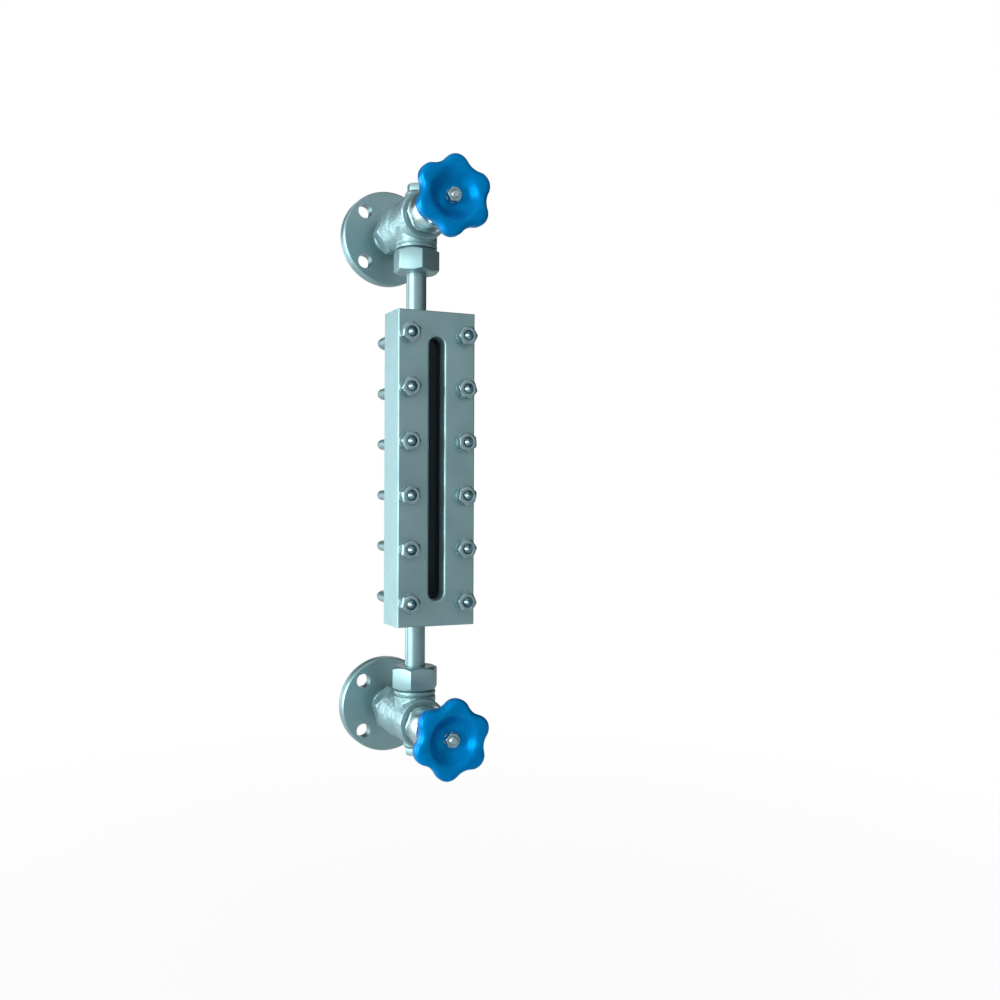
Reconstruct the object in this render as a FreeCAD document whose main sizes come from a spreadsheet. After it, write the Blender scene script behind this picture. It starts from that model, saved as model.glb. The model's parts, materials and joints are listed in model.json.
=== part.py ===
import FreeCAD, Part
import math
import os

import Sketcher
from FreeCAD import Placement, Rotation, Vector

# Reflex tank level gauge between two flanged shut-off valves.
# The origin is the centre of the lower flange's sealing face.
# +Z points up to the upper valve, -Y points to the front and +X to the right.
# "Depth" is measured from the sealing faces towards the front, along -Y.

# Driving sizes in millimetres: alias, value, meaning

SIZES = [
    ("centre_distance", 500.0, "lower flange axis to upper flange axis"),
    ("reach", 99.0, "sealing faces to the gauge pipe axis"),
    ("thread_gap", 0.1, "radial gap of a screwed or slipped-in piece"),
    ("running_gap", 0.08, "radial gap round the turning stem"),
    ("seat_gap", 0.3, "gap kept where a moving piece meets another face"),
    ("gasket_thickness", 1.5, "thickness of the flat sealing rings"),
    ("gasket_setback", 0.5, "how far a sealing ring stays back from the bore"),
    ("edge_break", 1.5, "chamfer on turned and forged outer edges"),

    ("flange_diameter", 100.0, "outside of the flange"),
    ("flange_thickness", 14.0, "flange with its raised face"),
    ("raised_diameter", 56.0, "outside of the raised sealing face"),
    ("raised_height", 1.0, "height of the raised sealing face"),
    ("passage_diameter", 20.0, "bore of the flange and its tail"),
    ("bolt_circle", 75.0, "pitch circle of the flange bolts"),
    ("bolt_hole", 15.0, "flange bolt hole"),
    ("bolt_count", 4, "flange bolt holes"),

    ("tail_diameter", 27.0, "tube between the flange and the valve"),
    ("tail_weld", 3.0, "fillet where the tail meets the flange"),
    ("tail_length", 16.0, "flange front to the rear of the tail nut"),
    ("tail_collar_diameter", 33.0, "collar held by the tail nut"),
    ("tail_collar_thickness", 5.0, "thickness of that collar"),
    ("tail_nut_flats", 42.0, "tail nut across flats"),
    ("tail_nut_length", 18.0, "tail nut along its axis"),
    ("tail_nut_wall", 4.0, "end wall of the tail nut"),
    ("tail_thread", 36.0, "thread on the rear end of the valve body"),

    ("body_nose", 24.0, "pipe axis to the front face of the valve body"),
    ("ring_gap", 1.0, "bare thread between a nut and the valve body"),
    ("rear_ring_diameter", 43.0, "ring next to the tail nut"),
    ("rear_ring_width", 4.0, "width of that ring"),
    ("rear_groove_diameter", 39.0, "groove in front of that ring"),
    ("rear_groove_width", 2.0, "width of that groove"),
    ("shoulder_diameter", 49.0, "thick ends of the valve body"),
    ("rear_shoulder_width", 18.5, "rear thick end"),
    ("front_shoulder_width", 13.0, "front thick end"),
    ("shoulder_taper", 6.0, "cone from the waist to a shoulder"),
    ("waist_diameter", 44.0, "middle of the valve body"),
    ("inlet_diameter", 16.0, "bore from the tail to the valve seat"),
    ("seat_offset", 13.0, "valve seat behind the pipe axis"),
    ("seat_diameter", 22.0, "outside of the raised valve seat"),
    ("seat_height", 2.0, "height of the raised valve seat"),
    ("cavity_diameter", 28.0, "hollow round the shut-off disc"),
    ("bonnet_thread", 32.0, "thread of the bonnet in the body"),
    ("bonnet_thread_length", 12.0, "depth of the threaded hole"),

    ("outlet_diameter", 41.0, "outlet boss of the valve body"),
    ("outlet_height", 30.0, "outlet boss above the valve axis"),
    ("outlet_ring_width", 3.5, "end ring of the outlet boss"),
    ("outlet_groove_width", 1.5, "groove behind the end ring"),
    ("outlet_groove_depth", 2.0, "depth of that groove"),
    ("union_thread", 35.0, "thread that carries the union nut"),
    ("union_thread_length", 14.0, "length of that thread"),
    ("outlet_bore", 14.0, "bore of the outlet and the gauge pipes"),
    ("union_nut_flats", 41.0, "union nut across flats"),
    ("union_nut_length", 23.0, "union nut along its axis"),
    ("union_collar_diameter", 33.0, "collar on the gauge pipe"),
    ("union_collar_thickness", 5.0, "thickness of that collar"),

    ("plug_boss_diameter", 23.0, "boss for the plug opposite the outlet"),
    ("plug_boss_height", 26.0, "boss end from the valve axis"),
    ("plug_thread", 13.0, "thread of the plug"),
    ("plug_thread_length", 12.0, "length of that thread"),
    ("plug_flats", 17.0, "plug head across flats"),
    ("plug_head", 7.5, "height of the plug head"),
    ("plug_washer_diameter", 20.0, "sealing ring under the plug head"),

    ("bonnet_neck_diameter", 38.0, "neck of the bonnet at the body"),
    ("bonnet_neck_length", 3.5, "length of that neck"),
    ("bonnet_flats", 40.0, "bonnet hexagon across flats"),
    ("bonnet_hexagon", 6.0, "thickness of the bonnet hexagon"),
    ("gland_thread", 35.0, "thread that carries the gland nut"),
    ("gland_thread_length", 22.0, "length of that thread"),
    ("packing_diameter", 21.0, "stuffing box bore"),
    ("packing_depth", 12.0, "depth of the stuffing box"),
    ("packing_height", 8.0, "height of the packing"),
    ("gland_nut_gap", 2.0, "bare thread behind the gland nut"),
    ("gland_nut_diameter", 42.0, "round part of the gland nut"),
    ("gland_nut_round", 22.0, "length of the round part"),
    ("gland_nut_flats", 36.0, "gland nut hexagon across flats"),
    ("gland_nut_hexagon", 10.0, "length of the hexagon"),
    ("gland_nut_wall", 8.0, "front wall of the gland nut"),

    ("lift", 6.0, "travel of the stem from shut to open"),
    ("stem_thread", 14.0, "thread of the stem in the bonnet"),
    ("stem_diameter", 12.0, "polished part of the stem"),
    ("stem_square", 8.0, "square that drives the handwheel"),
    ("stem_end", 8.0, "thread for the handwheel nut"),
    ("stem_neck", 8.0, "stem neck inside the disc"),
    ("stem_button", 10.0, "button that pulls the disc"),
    ("button_height", 2.2, "thickness of the button"),
    ("disc_diameter", 21.0, "shut-off disc"),
    ("disc_rim", 6.0, "thickness of the disc at its rim"),
    ("disc_neck_diameter", 13.0, "neck of the disc round the stem"),
    ("disc_neck_length", 4.0, "length of that neck"),
    ("disc_floor", 2.5, "disc metal behind the stem's button"),

    ("wheel_diameter", 76.0, "handwheel across opposite lobes"),
    ("wheel_lobes", 6, "lobes round the handwheel"),
    ("lobe_radius", 12.5, "rounding of a lobe"),
    ("valley_radius", 19.0, "hollow between two lobes"),
    ("rim_thickness", 15.0, "handwheel rim along the stem"),
    ("rim_rounding", 6.0, "rounded edges of the rim"),
    ("hub_gap", 12.0, "gland nut to the handwheel hub when shut"),
    ("hub_length", 13.0, "handwheel hub"),
    ("hub_diameter", 22.0, "handwheel hub"),
    ("dish_depth", 10.0, "rim front to the hub front"),
    ("dish_diameter", 41.0, "mouth of the dish"),
    ("dish_floor_diameter", 22.0, "floor of the dish"),
    ("dish_mouth_rounding", 3.0, "rounded edge round the dish"),
    ("dish_floor_rounding", 4.0, "rounded foot of the dish"),
    ("web_thickness", 5.0, "metal between the dish and the back"),
    ("back_hollow_diameter", 50.0, "hollow in the back of the wheel"),
    ("wheel_washer_diameter", 14.0, "washer under the handwheel nut"),
    ("wheel_washer_thickness", 1.6, "thickness of that washer"),
    ("wheel_nut_flats", 13.0, "handwheel nut across flats"),
    ("wheel_nut_height", 6.5, "handwheel nut"),
    ("stem_stub", 2.0, "stem end past the handwheel nut"),

    ("cover_width", 78.0, "front cover"),
    ("cover_height", 300.0, "front cover and chamber"),
    ("cover_depth", 40.0, "front cover, front to back"),
    ("cover_standoff", 58.0, "pipe axis to the front of the cover"),
    ("cover_edge", 1.5, "rounded front edges of the cover"),
    ("window_wall", 12.0, "cover metal in front of the glass"),
    ("window_side", 9.3, "how far the glass reaches past the window's sides"),
    ("window_end", 14.6, "how far the glass reaches past the window's ends"),
    ("window_taper", 0.2, "how far each side of the window closes in"),
    ("window_rounding", 2.6, "rounded edge of the window's mouth"),
    ("glass_width", 34.0, "sight glass"),
    ("glass_length", 280.0, "sight glass"),
    ("glass_thickness", 17.0, "sight glass"),
    ("glass_side_gap", 0.5, "gap round the glass in its pocket"),
    ("cushion_thickness", 1.0, "cushion in front of the glass"),
    ("prism_pitch", 4.5, "spacing of the grooves in the glass"),
    ("prism_count", 3, "grooves in the back of the glass"),
    ("prism_end", 1.0, "how far the grooves stop short of the slot's ends"),
    ("clamp_gap", 0.3, "gap between the cover and the chamber"),

    ("chamber_width", 46.6, "liquid chamber"),
    ("chamber_depth", 56.0, "liquid chamber without its tongue"),
    ("chamber_bore", 16.0, "bore through the chamber"),
    ("slot_side", 10.0, "sealed border beside the chamber's slot"),
    ("slot_end", 14.0, "sealed border at the ends of the slot"),
    ("pipe_diameter", 20.0, "gauge pipes"),
    ("pipe_socket", 12.0, "depth of the pipe socket"),
    ("pipe_weld", 3.5, "weld bead at the foot of a pipe"),

    ("row_count", 6, "rows of clamping bolts"),
    ("row_end", 22.5, "outer row to the end of the cover"),
    ("rod_diameter", 10.0, "clamping bolt"),
    ("rod_gap", 0.2, "between the bolts and the chamber"),
    ("rod_hole", 11.0, "bolt hole in the cover"),
    ("rod_stub", 2.0, "bolt end past its nut"),
    ("rod_point", 1.0, "chamfer on the bolt ends"),
    ("washer_diameter", 20.0, "washer on the cover"),
    ("washer_thickness", 2.0, "washer on the cover"),
    ("nut_flats", 17.0, "nut across flats"),
    ("nut_height", 8.0, "nut on the cover"),
]

# Share of the flats left flat on a nut's end, and a margin past its corners
CHAMFER_LAND = 0.94
CLEAR_OF_CORNERS = 0.2
# How close two places are to count as the same
SAME_PLACE = 0.01
# Angle at which the nuts on the cover are drawn
NUT_TURN = 15.0

# Angles in degrees at which the screwed pieces came to rest, seen from the
# front for level axes and from above for upright ones.

CLOCKING = {
    "lower": {
        "tail_nut": -14.0,
        "union_nut": 0.0,
        "bonnet": 8.0,
        "gland_nut": 20.0,
        "wheel": -10.0,
        "plug": 12.0,
    },
    "upper": {
        "tail_nut": 5.0,
        "union_nut": 24.5,
        "bonnet": -6.0,
        "gland_nut": 5.0,
        "wheel": -4.0,
        "plug": 25.0,
    },
}


class Size:
    """A length with its value and the text that binds it to the sheet."""

    def __init__(self, value, text):
        self.value = value
        self.text = text

    def __add__(self, other):
        other = as_size(other)
        return Size(self.value + other.value, "(%s + %s)" % (self.text, other.text))

    def __radd__(self, other):
        return as_size(other) + self

    def __sub__(self, other):
        other = as_size(other)
        return Size(self.value - other.value, "(%s - %s)" % (self.text, other.text))

    def __rsub__(self, other):
        return as_size(other) - self

    def __mul__(self, factor):
        factor = as_size(factor)
        return Size(self.value * factor.value, "(%s * %s)" % (self.text, factor.text))

    def __rmul__(self, factor):
        return self * factor

    def __truediv__(self, divisor):
        return Size(self.value / divisor, "(%s / %s)" % (self.text, divisor))

    def __neg__(self):
        return Size(-self.value, "(-1 * %s)" % self.text)


def as_size(number):
    """A plain number as a Size, and a Size as it is."""
    if isinstance(number, Size):
        return number
    return Size(number, "%.9f" % number)


doc = FreeCAD.newDocument("tank_level_gauge")
sheet = doc.addObject("Spreadsheet::Sheet", "sizes")
sheet.set("A1", "meaning")
sheet.set("B1", "size")


class Sheet:
    """The driving sizes by name, lengths in millimetres."""


mm = Sheet()
for row, (alias, value, meaning) in enumerate(SIZES, 2):
    sheet.set("A%d" % row, meaning)
    sheet.set("B%d" % row, str(value))
    sheet.setAlias("B%d" % row, alias)
    setattr(mm, alias, Size(value, "sizes." + alias))
doc.recompute()


# Helpers

SUB_PARTS = []


def bind(thing, path, size):
    """Tie one property of an object to the sheet."""
    thing.setExpression(path, as_size(size).text)


def sub_part(label):
    """A body of its own, named as its file will be."""
    body = doc.addObject("PartDesign::Body", label)
    body.Label = label
    SUB_PARTS.append(body)
    return body


def new_sketch(body, name, role, offset=0, shift_x=0, shift_y=0):
    """A sketch on an origin plane, moved along the plane's normal by offset."""
    sketch = body.newObject("Sketcher::SketchObject", name)
    plane = [item for item in body.Origin.OriginFeatures if item.Role == role][0]
    sketch.AttachmentSupport = [(plane, "")]
    sketch.MapMode = "FlatFace"
    bind(sketch, "AttachmentOffset.Base.x", shift_x)
    bind(sketch, "AttachmentOffset.Base.y", shift_y)
    bind(sketch, "AttachmentOffset.Base.z", offset)
    return sketch


def fix_point(sketch, geometry, point, across, up):
    """Hold one point of a sketch at two sizes from the sketch's origin."""
    for kind, size, axis in (("DistanceX", across, -2), ("DistanceY", up, -1)):
        size = as_size(size)
        if size.value == 0:
            sketch.addConstraint(Sketcher.Constraint("PointOnObject", geometry, point, axis))
        else:
            held = Sketcher.Constraint(kind, -1, 1, geometry, point, size.value)
            number = sketch.addConstraint(held)
            bind(sketch, "Constraints[%d]" % number, size)


def polygon(sketch, corners):
    """A closed outline of straight edges through the corners."""
    points = [Vector(as_size(a).value, as_size(b).value, 0) for a, b in corners]
    count = len(points)
    first = sketch.GeometryCount
    for index in range(count):
        line = Part.LineSegment(points[index], points[(index + 1) % count])
        sketch.addGeometry(line, False)
    for index in range(count):
        following = first + (index + 1) % count
        sketch.addConstraint(Sketcher.Constraint("Coincident", first + index, 2, following, 1))
    for index, (across, up) in enumerate(corners):
        fix_point(sketch, first + index, 1, across, up)


def circle(sketch, across, up, diameter):
    """A circle held by its centre and diameter."""
    centre = Vector(as_size(across).value, as_size(up).value, 0)
    shape = Part.Circle(centre, Vector(0, 0, 1), diameter.value / 2)
    number = sketch.addGeometry(shape, False)
    fix_point(sketch, number, 3, across, up)
    held = sketch.addConstraint(Sketcher.Constraint("Diameter", number, diameter.value))
    bind(sketch, "Constraints[%d]" % held, diameter)


def arc(centre, radius, start, end):
    """An arc from one angle to another, in degrees, for a sketch."""
    whole = Part.Circle(centre, Vector(0, 0, 1), radius)
    return Part.ArcOfCircle(whole, math.radians(start), math.radians(end))


def stadium(sketch, width, length):
    """An upright slot outline with round ends, centred on the sketch."""
    half = width / 2
    centre = length / 2 - half
    x, y = half.value, centre.value
    right = sketch.addGeometry(Part.LineSegment(Vector(x, -y, 0), Vector(x, y, 0)), False)
    top = sketch.addGeometry(arc(Vector(0, y, 0), x, 0, 180), False)
    left = sketch.addGeometry(Part.LineSegment(Vector(-x, y, 0), Vector(-x, -y, 0)), False)
    bottom = sketch.addGeometry(arc(Vector(0, -y, 0), x, 180, 360), False)
    for one, two in ((right, top), (top, left), (left, bottom), (bottom, right)):
        sketch.addConstraint(Sketcher.Constraint("Tangent", one, 2, two, 1))
    fix_point(sketch, top, 3, 0, centre)
    fix_point(sketch, bottom, 3, 0, -centre)
    held = sketch.addConstraint(Sketcher.Constraint("Radius", top, x))
    bind(sketch, "Constraints[%d]" % held, half)


def hexagon(sketch, across_flats, turn=0.0, across=0, up=0):
    """A hexagon whose first corner is turned from the sketch's X axis."""
    corners = []
    for index in range(6):
        angle = math.radians(60 * index + turn)
        corner = across_flats / math.sqrt(3)
        corners.append((across + corner * math.cos(angle), up + corner * math.sin(angle)))
    polygon(sketch, corners)


def feature(body, kind, name, sketch):
    """A PartDesign feature made from a sketch."""
    made = body.newObject("PartDesign::" + kind, name)
    made.Profile = sketch
    sketch.Visibility = False
    return made


def pad(body, name, sketch, length, backwards=False):
    """Material from the sketch along its normal."""
    made = feature(body, "Pad", name, sketch)
    made.Reversed = backwards
    bind(made, "Length", length)
    doc.recompute()
    return made


def pocket(body, name, sketch, length, backwards=False):
    """Material taken away along the sketch's normal, or against it."""
    made = feature(body, "Pocket", name, sketch)
    made.Reversed = not backwards
    bind(made, "Length", length)
    doc.recompute()
    return made


def turn_solid(body, name, sketch, axis):
    """Material swept once round an axis of the sketch."""
    made = feature(body, "Revolution", name, sketch)
    made.ReferenceAxis = (sketch, [axis])
    made.Angle = 360
    doc.recompute()
    return made


def turn_cut(body, name, sketch, axis):
    """Material cut away once round an axis of the sketch."""
    made = feature(body, "Groove", name, sketch)
    made.ReferenceAxis = (sketch, [axis])
    made.Angle = 360
    doc.recompute()
    return made


def level_profile(body, name, corners):
    """A turned outline round the stem axis, as depth and radius pairs."""
    sketch = new_sketch(body, name, "YZ_Plane")
    polygon(sketch, [(-as_size(depth), radius) for depth, radius in corners])
    return sketch


def upright_profile(body, name, corners, behind=0):
    """A turned outline round an upright axis, as radius and height pairs."""
    sketch = new_sketch(body, name, "YZ_Plane", shift_x=-as_size(behind))
    polygon(sketch, corners)
    return sketch


def level_ring(label, outside, inside, start, end):
    """A plain ring round the stem axis."""
    body = sub_part(label)
    corners = [(start, inside), (start, outside), (end, outside), (end, inside)]
    turn_solid(body, "ring", level_profile(body, "section", corners), "H_Axis")
    return body


def upright_ring(label, outside, inside, start, end):
    """A plain ring round an upright axis."""
    body = sub_part(label)
    corners = [(inside, start), (outside, start), (outside, end), (inside, end)]
    turn_solid(body, "ring", upright_profile(body, "section", corners), "V_Axis")
    return body


def corner_section(flats, end, inwards):
    """Section of a 30 degree chamfer at one end of a hexagon."""
    corner = flats / math.sqrt(3) + CLEAR_OF_CORNERS
    land = flats * CHAMFER_LAND / 2
    rise = (corner - land) * math.tan(math.radians(30)) * inwards
    return [(end, land), (end, corner), (end + rise, corner)]


def break_corners(body, name, flats, end, inwards, upright=False):
    """Turn a chamfer on the corners at one end of a hexagon."""
    section = corner_section(flats, end, inwards)
    if upright:
        sketch = upright_profile(body, name + "_section", [(radius, height) for height, radius in section])
        turn_cut(body, name, sketch, "V_Axis")
    else:
        turn_cut(body, name, level_profile(body, name + "_section", section), "H_Axis")


def place(body, side, turn=0.0):
    """Put a valve piece on its own valve: the upper one is turned over."""
    about_stem = Rotation(Vector(0, -1, 0), turn)
    if side == "upper":
        body.Placement = Placement(Vector(0, 0, 0), about_stem * Rotation(Vector(0, 1, 0), 180))
        bind(body, "Placement.Base.z", mm.centre_distance)
    else:
        body.Placement = Placement(Vector(0, 0, 0), about_stem)


def place_upright(body, side, turn=0.0):
    """Put a piece with an upright axis on the pipe axis of its valve."""
    about_pipe = Rotation(Vector(0, 0, 1), turn)
    if side == "upper":
        body.Placement = Placement(Vector(0, 0, 0), about_pipe * Rotation(Vector(0, 1, 0), 180))
        bind(body, "Placement.Base.z", mm.centre_distance)
    else:
        body.Placement = Placement(Vector(0, 0, 0), about_pipe)
    bind(body, "Placement.Base.y", -mm.reach)


def edges_at(body, depth):
    """Names of the edges of a body's last feature that lie at one depth."""
    names = []
    for number, edge in enumerate(body.Tip.Shape.Edges, 1):
        box = edge.BoundBox
        if abs(box.YMin + depth.value) < SAME_PLACE and abs(box.YMax + depth.value) < SAME_PLACE:
            names.append("Edge%d" % number)
    return names


def edges_within(body, depth, half_width):
    """Of the edges at one depth, those that keep within a half width of X = 0."""
    shape = body.Tip.Shape
    names = []
    for name in edges_at(body, depth):
        box = shape.getElement(name).BoundBox
        if max(-box.XMin, box.XMax) < half_width.value:
            names.append(name)
    return names


def round_edges(body, name, names, radius):
    """Round the named edges of the last feature."""
    made = body.newObject("PartDesign::Fillet", name)
    made.Base = (body.Group[-2], names)
    bind(made, "Radius", radius)
    doc.recompute()
    return made


# Depths along a valve, from the sealing face to the front

tail_nut_rear = mm.flange_thickness + mm.tail_length
tail_collar_rear = tail_nut_rear + mm.tail_nut_wall
tail_end = tail_collar_rear + mm.tail_collar_thickness
body_rear = tail_end + mm.gasket_thickness
tail_nut_front = tail_nut_rear + mm.tail_nut_length
rear_ring = tail_nut_front + mm.ring_gap
rear_groove = rear_ring + mm.rear_ring_width
rear_shoulder = rear_groove + mm.rear_groove_width
rear_shoulder_end = rear_shoulder + mm.rear_shoulder_width
body_front = mm.reach + mm.body_nose
front_shoulder = body_front - mm.front_shoulder_width
seat = mm.reach - mm.seat_offset
bonnet_hole_end = body_front - mm.bonnet_thread_length
bonnet_rear = bonnet_hole_end + mm.seat_gap
bonnet_neck = body_front + mm.gasket_thickness
bonnet_hexagon = bonnet_neck + mm.bonnet_neck_length
gland_thread = bonnet_hexagon + mm.bonnet_hexagon
bonnet_front = gland_thread + mm.gland_thread_length
packing_rear = bonnet_front - mm.packing_depth
packing_front = packing_rear + mm.packing_height
gland_nut_rear = gland_thread + mm.gland_nut_gap
gland_nut_step = gland_nut_rear + mm.gland_nut_round
gland_nut_front = gland_nut_step + mm.gland_nut_hexagon
gland_nut_inside = gland_nut_front - mm.gland_nut_wall
disc_rim = seat + mm.disc_rim
disc_front = disc_rim + mm.disc_neck_length
disc_socket = seat + mm.disc_floor
button_rear = disc_socket + mm.seat_gap
button_front = button_rear + mm.button_height
stem_shoulder = disc_front + mm.seat_gap
stem_thread_end = packing_rear - mm.lift - mm.ring_gap
hub_rear = gland_nut_front + mm.hub_gap
hub_front = hub_rear + mm.hub_length
rim_front = hub_front + mm.dish_depth
rim_rear = rim_front - mm.rim_thickness
wheel_nut_rear = hub_front + mm.wheel_washer_thickness
wheel_nut_front = wheel_nut_rear + mm.wheel_nut_height
stem_front = wheel_nut_front + mm.stem_stub

# Heights from a valve axis towards the gauge, and the plug's the other way

outlet_ring = mm.outlet_height - mm.outlet_ring_width
outlet_groove = outlet_ring - mm.outlet_groove_width
union_nut_start = mm.outlet_height + mm.ring_gap
union_thread_end = mm.outlet_height + mm.union_thread_length
union_collar = union_thread_end + mm.gasket_thickness
union_collar_end = union_collar + mm.union_collar_thickness
union_nut_end = union_nut_start + mm.union_nut_length
plug_head = mm.plug_boss_height + mm.gasket_thickness
plug_end = plug_head + mm.plug_head

# Depths and heights of the gauge

cover_front = mm.reach + mm.cover_standoff
cover_rear = cover_front - mm.cover_depth
cushion_rear = cover_front - mm.window_wall - mm.cushion_thickness
glass_rear = cushion_rear - mm.glass_thickness
tongue_front = glass_rear - mm.gasket_thickness
chamber_front = cover_rear - mm.clamp_gap
chamber_back_centre = chamber_front - mm.chamber_depth + mm.chamber_width / 2
leg_offset = mm.chamber_width / 2 + mm.rod_gap + mm.rod_diameter / 2
nut_rear = cover_front + mm.washer_thickness
nut_front = nut_rear + mm.nut_height
rod_front = nut_front + mm.rod_stub
middle = mm.centre_distance / 2
gauge_bottom = middle - mm.cover_height / 2
first_row = gauge_bottom + mm.row_end
row_span = mm.cover_height - 2 * mm.row_end
window_width = mm.glass_width - 2 * mm.window_side
window_length = mm.glass_length - 2 * mm.window_end
throat_width = window_width - 2 * mm.window_taper
throat_length = window_length - 2 * mm.window_taper
slot_width = mm.glass_width - 2 * mm.slot_side
slot_length = mm.glass_length - 2 * mm.slot_end
prism_length = slot_length - 2 * mm.prism_end


# Flanged tail

def flange(side):
    """Flange with raised face, bolt holes and the collared tail tube."""
    body = sub_part(side + "_flange")
    bore = mm.passage_diameter / 2
    outside = mm.flange_diameter / 2
    tail = mm.tail_diameter / 2
    corners = [
        (0, bore),
        (0, mm.raised_diameter / 2),
        (mm.raised_height, mm.raised_diameter / 2),
        (mm.raised_height, outside - mm.edge_break / 2),
        (mm.raised_height + mm.edge_break / 2, outside),
        (mm.flange_thickness - mm.edge_break, outside),
        (mm.flange_thickness, outside - mm.edge_break),
        (mm.flange_thickness, tail + mm.tail_weld),
        (mm.flange_thickness + mm.tail_weld, tail),
        (tail_collar_rear, tail),
        (tail_collar_rear, mm.tail_collar_diameter / 2),
        (tail_end, mm.tail_collar_diameter / 2),
        (tail_end, bore),
    ]
    turn_solid(body, "turned", level_profile(body, "section", corners), "H_Axis")
    hole_at = mm.bolt_circle * (math.sqrt(0.5) / 2)
    sketch = new_sketch(body, "bolt_hole", "XZ_Plane")
    circle(sketch, hole_at, hole_at, mm.bolt_hole)
    hole = pocket(body, "hole", sketch, mm.flange_thickness)
    holes = body.newObject("PartDesign::PolarPattern", "holes")
    holes.Originals = [hole]
    holes.Axis = (sketch, ["N_Axis"])
    holes.Angle = 360
    bind(holes, "Occurrences", mm.bolt_count)
    body.Tip = holes
    doc.recompute()
    place(body, side)


def tail_nut(side):
    """Hexagon union nut that draws the tail against the valve body."""
    body = sub_part(side + "_tail_nut")
    sketch = new_sketch(body, "outline", "XZ_Plane", tail_nut_rear)
    hexagon(sketch, mm.tail_nut_flats)
    pad(body, "blank", sketch, mm.tail_nut_length)
    thread = mm.tail_thread / 2 + mm.thread_gap
    hole = mm.tail_diameter / 2 + mm.thread_gap
    corners = [
        (tail_nut_rear, 0),
        (tail_nut_rear, hole),
        (tail_collar_rear, hole),
        (tail_collar_rear, thread),
        (tail_nut_front, thread),
        (tail_nut_front, 0),
    ]
    turn_cut(body, "bore", level_profile(body, "bore_section", corners), "H_Axis")
    break_corners(body, "rear_corners", mm.tail_nut_flats, tail_nut_rear, 1)
    break_corners(body, "front_corners", mm.tail_nut_flats, tail_nut_front, -1)
    place(body, side, CLOCKING[side]["tail_nut"])


def tail_gasket(side):
    """Flat ring between the tail collar and the valve body."""
    outside = mm.tail_collar_diameter / 2
    inside = mm.passage_diameter / 2 + mm.gasket_setback
    ring = level_ring(side + "_tail_gasket", outside, inside, tail_end, body_rear)
    place(ring, side)


# Valve

def valve_body(side):
    """Body with its rear thread, outlet boss, plug boss and inner bores."""
    body = sub_part(side + "_valve_body")
    thick = mm.shoulder_diameter / 2
    waist = mm.waist_diameter / 2
    corners = [
        (body_rear, 0),
        (body_rear, mm.tail_thread / 2),
        (rear_ring, mm.tail_thread / 2),
        (rear_ring, mm.rear_ring_diameter / 2),
        (rear_groove, mm.rear_ring_diameter / 2),
        (rear_groove, mm.rear_groove_diameter / 2),
        (rear_shoulder, mm.rear_groove_diameter / 2),
        (rear_shoulder, thick - mm.edge_break),
        (rear_shoulder + mm.edge_break, thick),
        (rear_shoulder_end, thick),
        (rear_shoulder_end + mm.shoulder_taper, waist),
        (front_shoulder - mm.shoulder_taper, waist),
        (front_shoulder, thick),
        (body_front - mm.edge_break, thick),
        (body_front, thick - mm.edge_break),
        (body_front, 0),
    ]
    turn_solid(body, "barrel", level_profile(body, "barrel_section", corners), "H_Axis")
    boss = mm.outlet_diameter / 2
    groove = boss - mm.outlet_groove_depth
    thread = mm.union_thread / 2
    corners = [
        (0, 0),
        (boss, 0),
        (boss, outlet_groove),
        (groove, outlet_groove),
        (groove, outlet_ring),
        (boss, outlet_ring),
        (boss, mm.outlet_height),
        (thread, mm.outlet_height),
        (thread, union_thread_end),
        (0, union_thread_end),
    ]
    sketch = upright_profile(body, "outlet_section", corners, mm.reach)
    turn_solid(body, "outlet", sketch, "V_Axis")
    plug_boss = mm.plug_boss_diameter / 2
    corners = [(0, 0), (plug_boss, 0), (plug_boss, -mm.plug_boss_height), (0, -mm.plug_boss_height)]
    sketch = upright_profile(body, "plug_boss_section", corners, mm.reach)
    turn_solid(body, "plug_boss", sketch, "V_Axis")
    corners = [
        (body_rear, 0),
        (body_rear, mm.inlet_diameter / 2),
        (seat, mm.inlet_diameter / 2),
        (seat, mm.seat_diameter / 2),
        (seat - mm.seat_height, mm.seat_diameter / 2),
        (seat - mm.seat_height, mm.cavity_diameter / 2),
        (bonnet_hole_end, mm.cavity_diameter / 2),
        (bonnet_hole_end, mm.bonnet_thread / 2),
        (body_front, mm.bonnet_thread / 2),
        (body_front, 0),
    ]
    turn_cut(body, "bore", level_profile(body, "bore_section", corners), "H_Axis")
    corners = [
        (0, -mm.plug_boss_height),
        (mm.plug_thread / 2, -mm.plug_boss_height),
        (mm.plug_thread / 2, 0),
        (mm.outlet_bore / 2, 0),
        (mm.outlet_bore / 2, union_thread_end),
        (0, union_thread_end),
    ]
    sketch = upright_profile(body, "passage_section", corners, mm.reach)
    turn_cut(body, "passage", sketch, "V_Axis")
    place(body, side)


def plug(side, name):
    """Hexagon plug opposite the outlet, with its sealing ring."""
    shank = mm.plug_thread / 2 - mm.thread_gap
    ring = upright_ring(
        "%s_%s_gasket" % (side, name),
        mm.plug_washer_diameter / 2,
        mm.plug_thread / 2,
        -plug_head,
        -mm.plug_boss_height,
    )
    place_upright(ring, side)
    body = sub_part("%s_%s" % (side, name))
    sketch = new_sketch(body, "head_outline", "XY_Plane", -plug_end)
    hexagon(sketch, mm.plug_flats)
    pad(body, "head", sketch, mm.plug_head)
    break_corners(body, "corners", mm.plug_flats, -plug_end, 1, upright=True)
    shank_end = mm.plug_thread_length - plug_head
    corners = [(0, -plug_head), (shank, -plug_head), (shank, shank_end), (0, shank_end)]
    turn_solid(body, "shank", upright_profile(body, "shank_section", corners), "V_Axis")
    place_upright(body, side, CLOCKING[side]["plug"])


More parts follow.
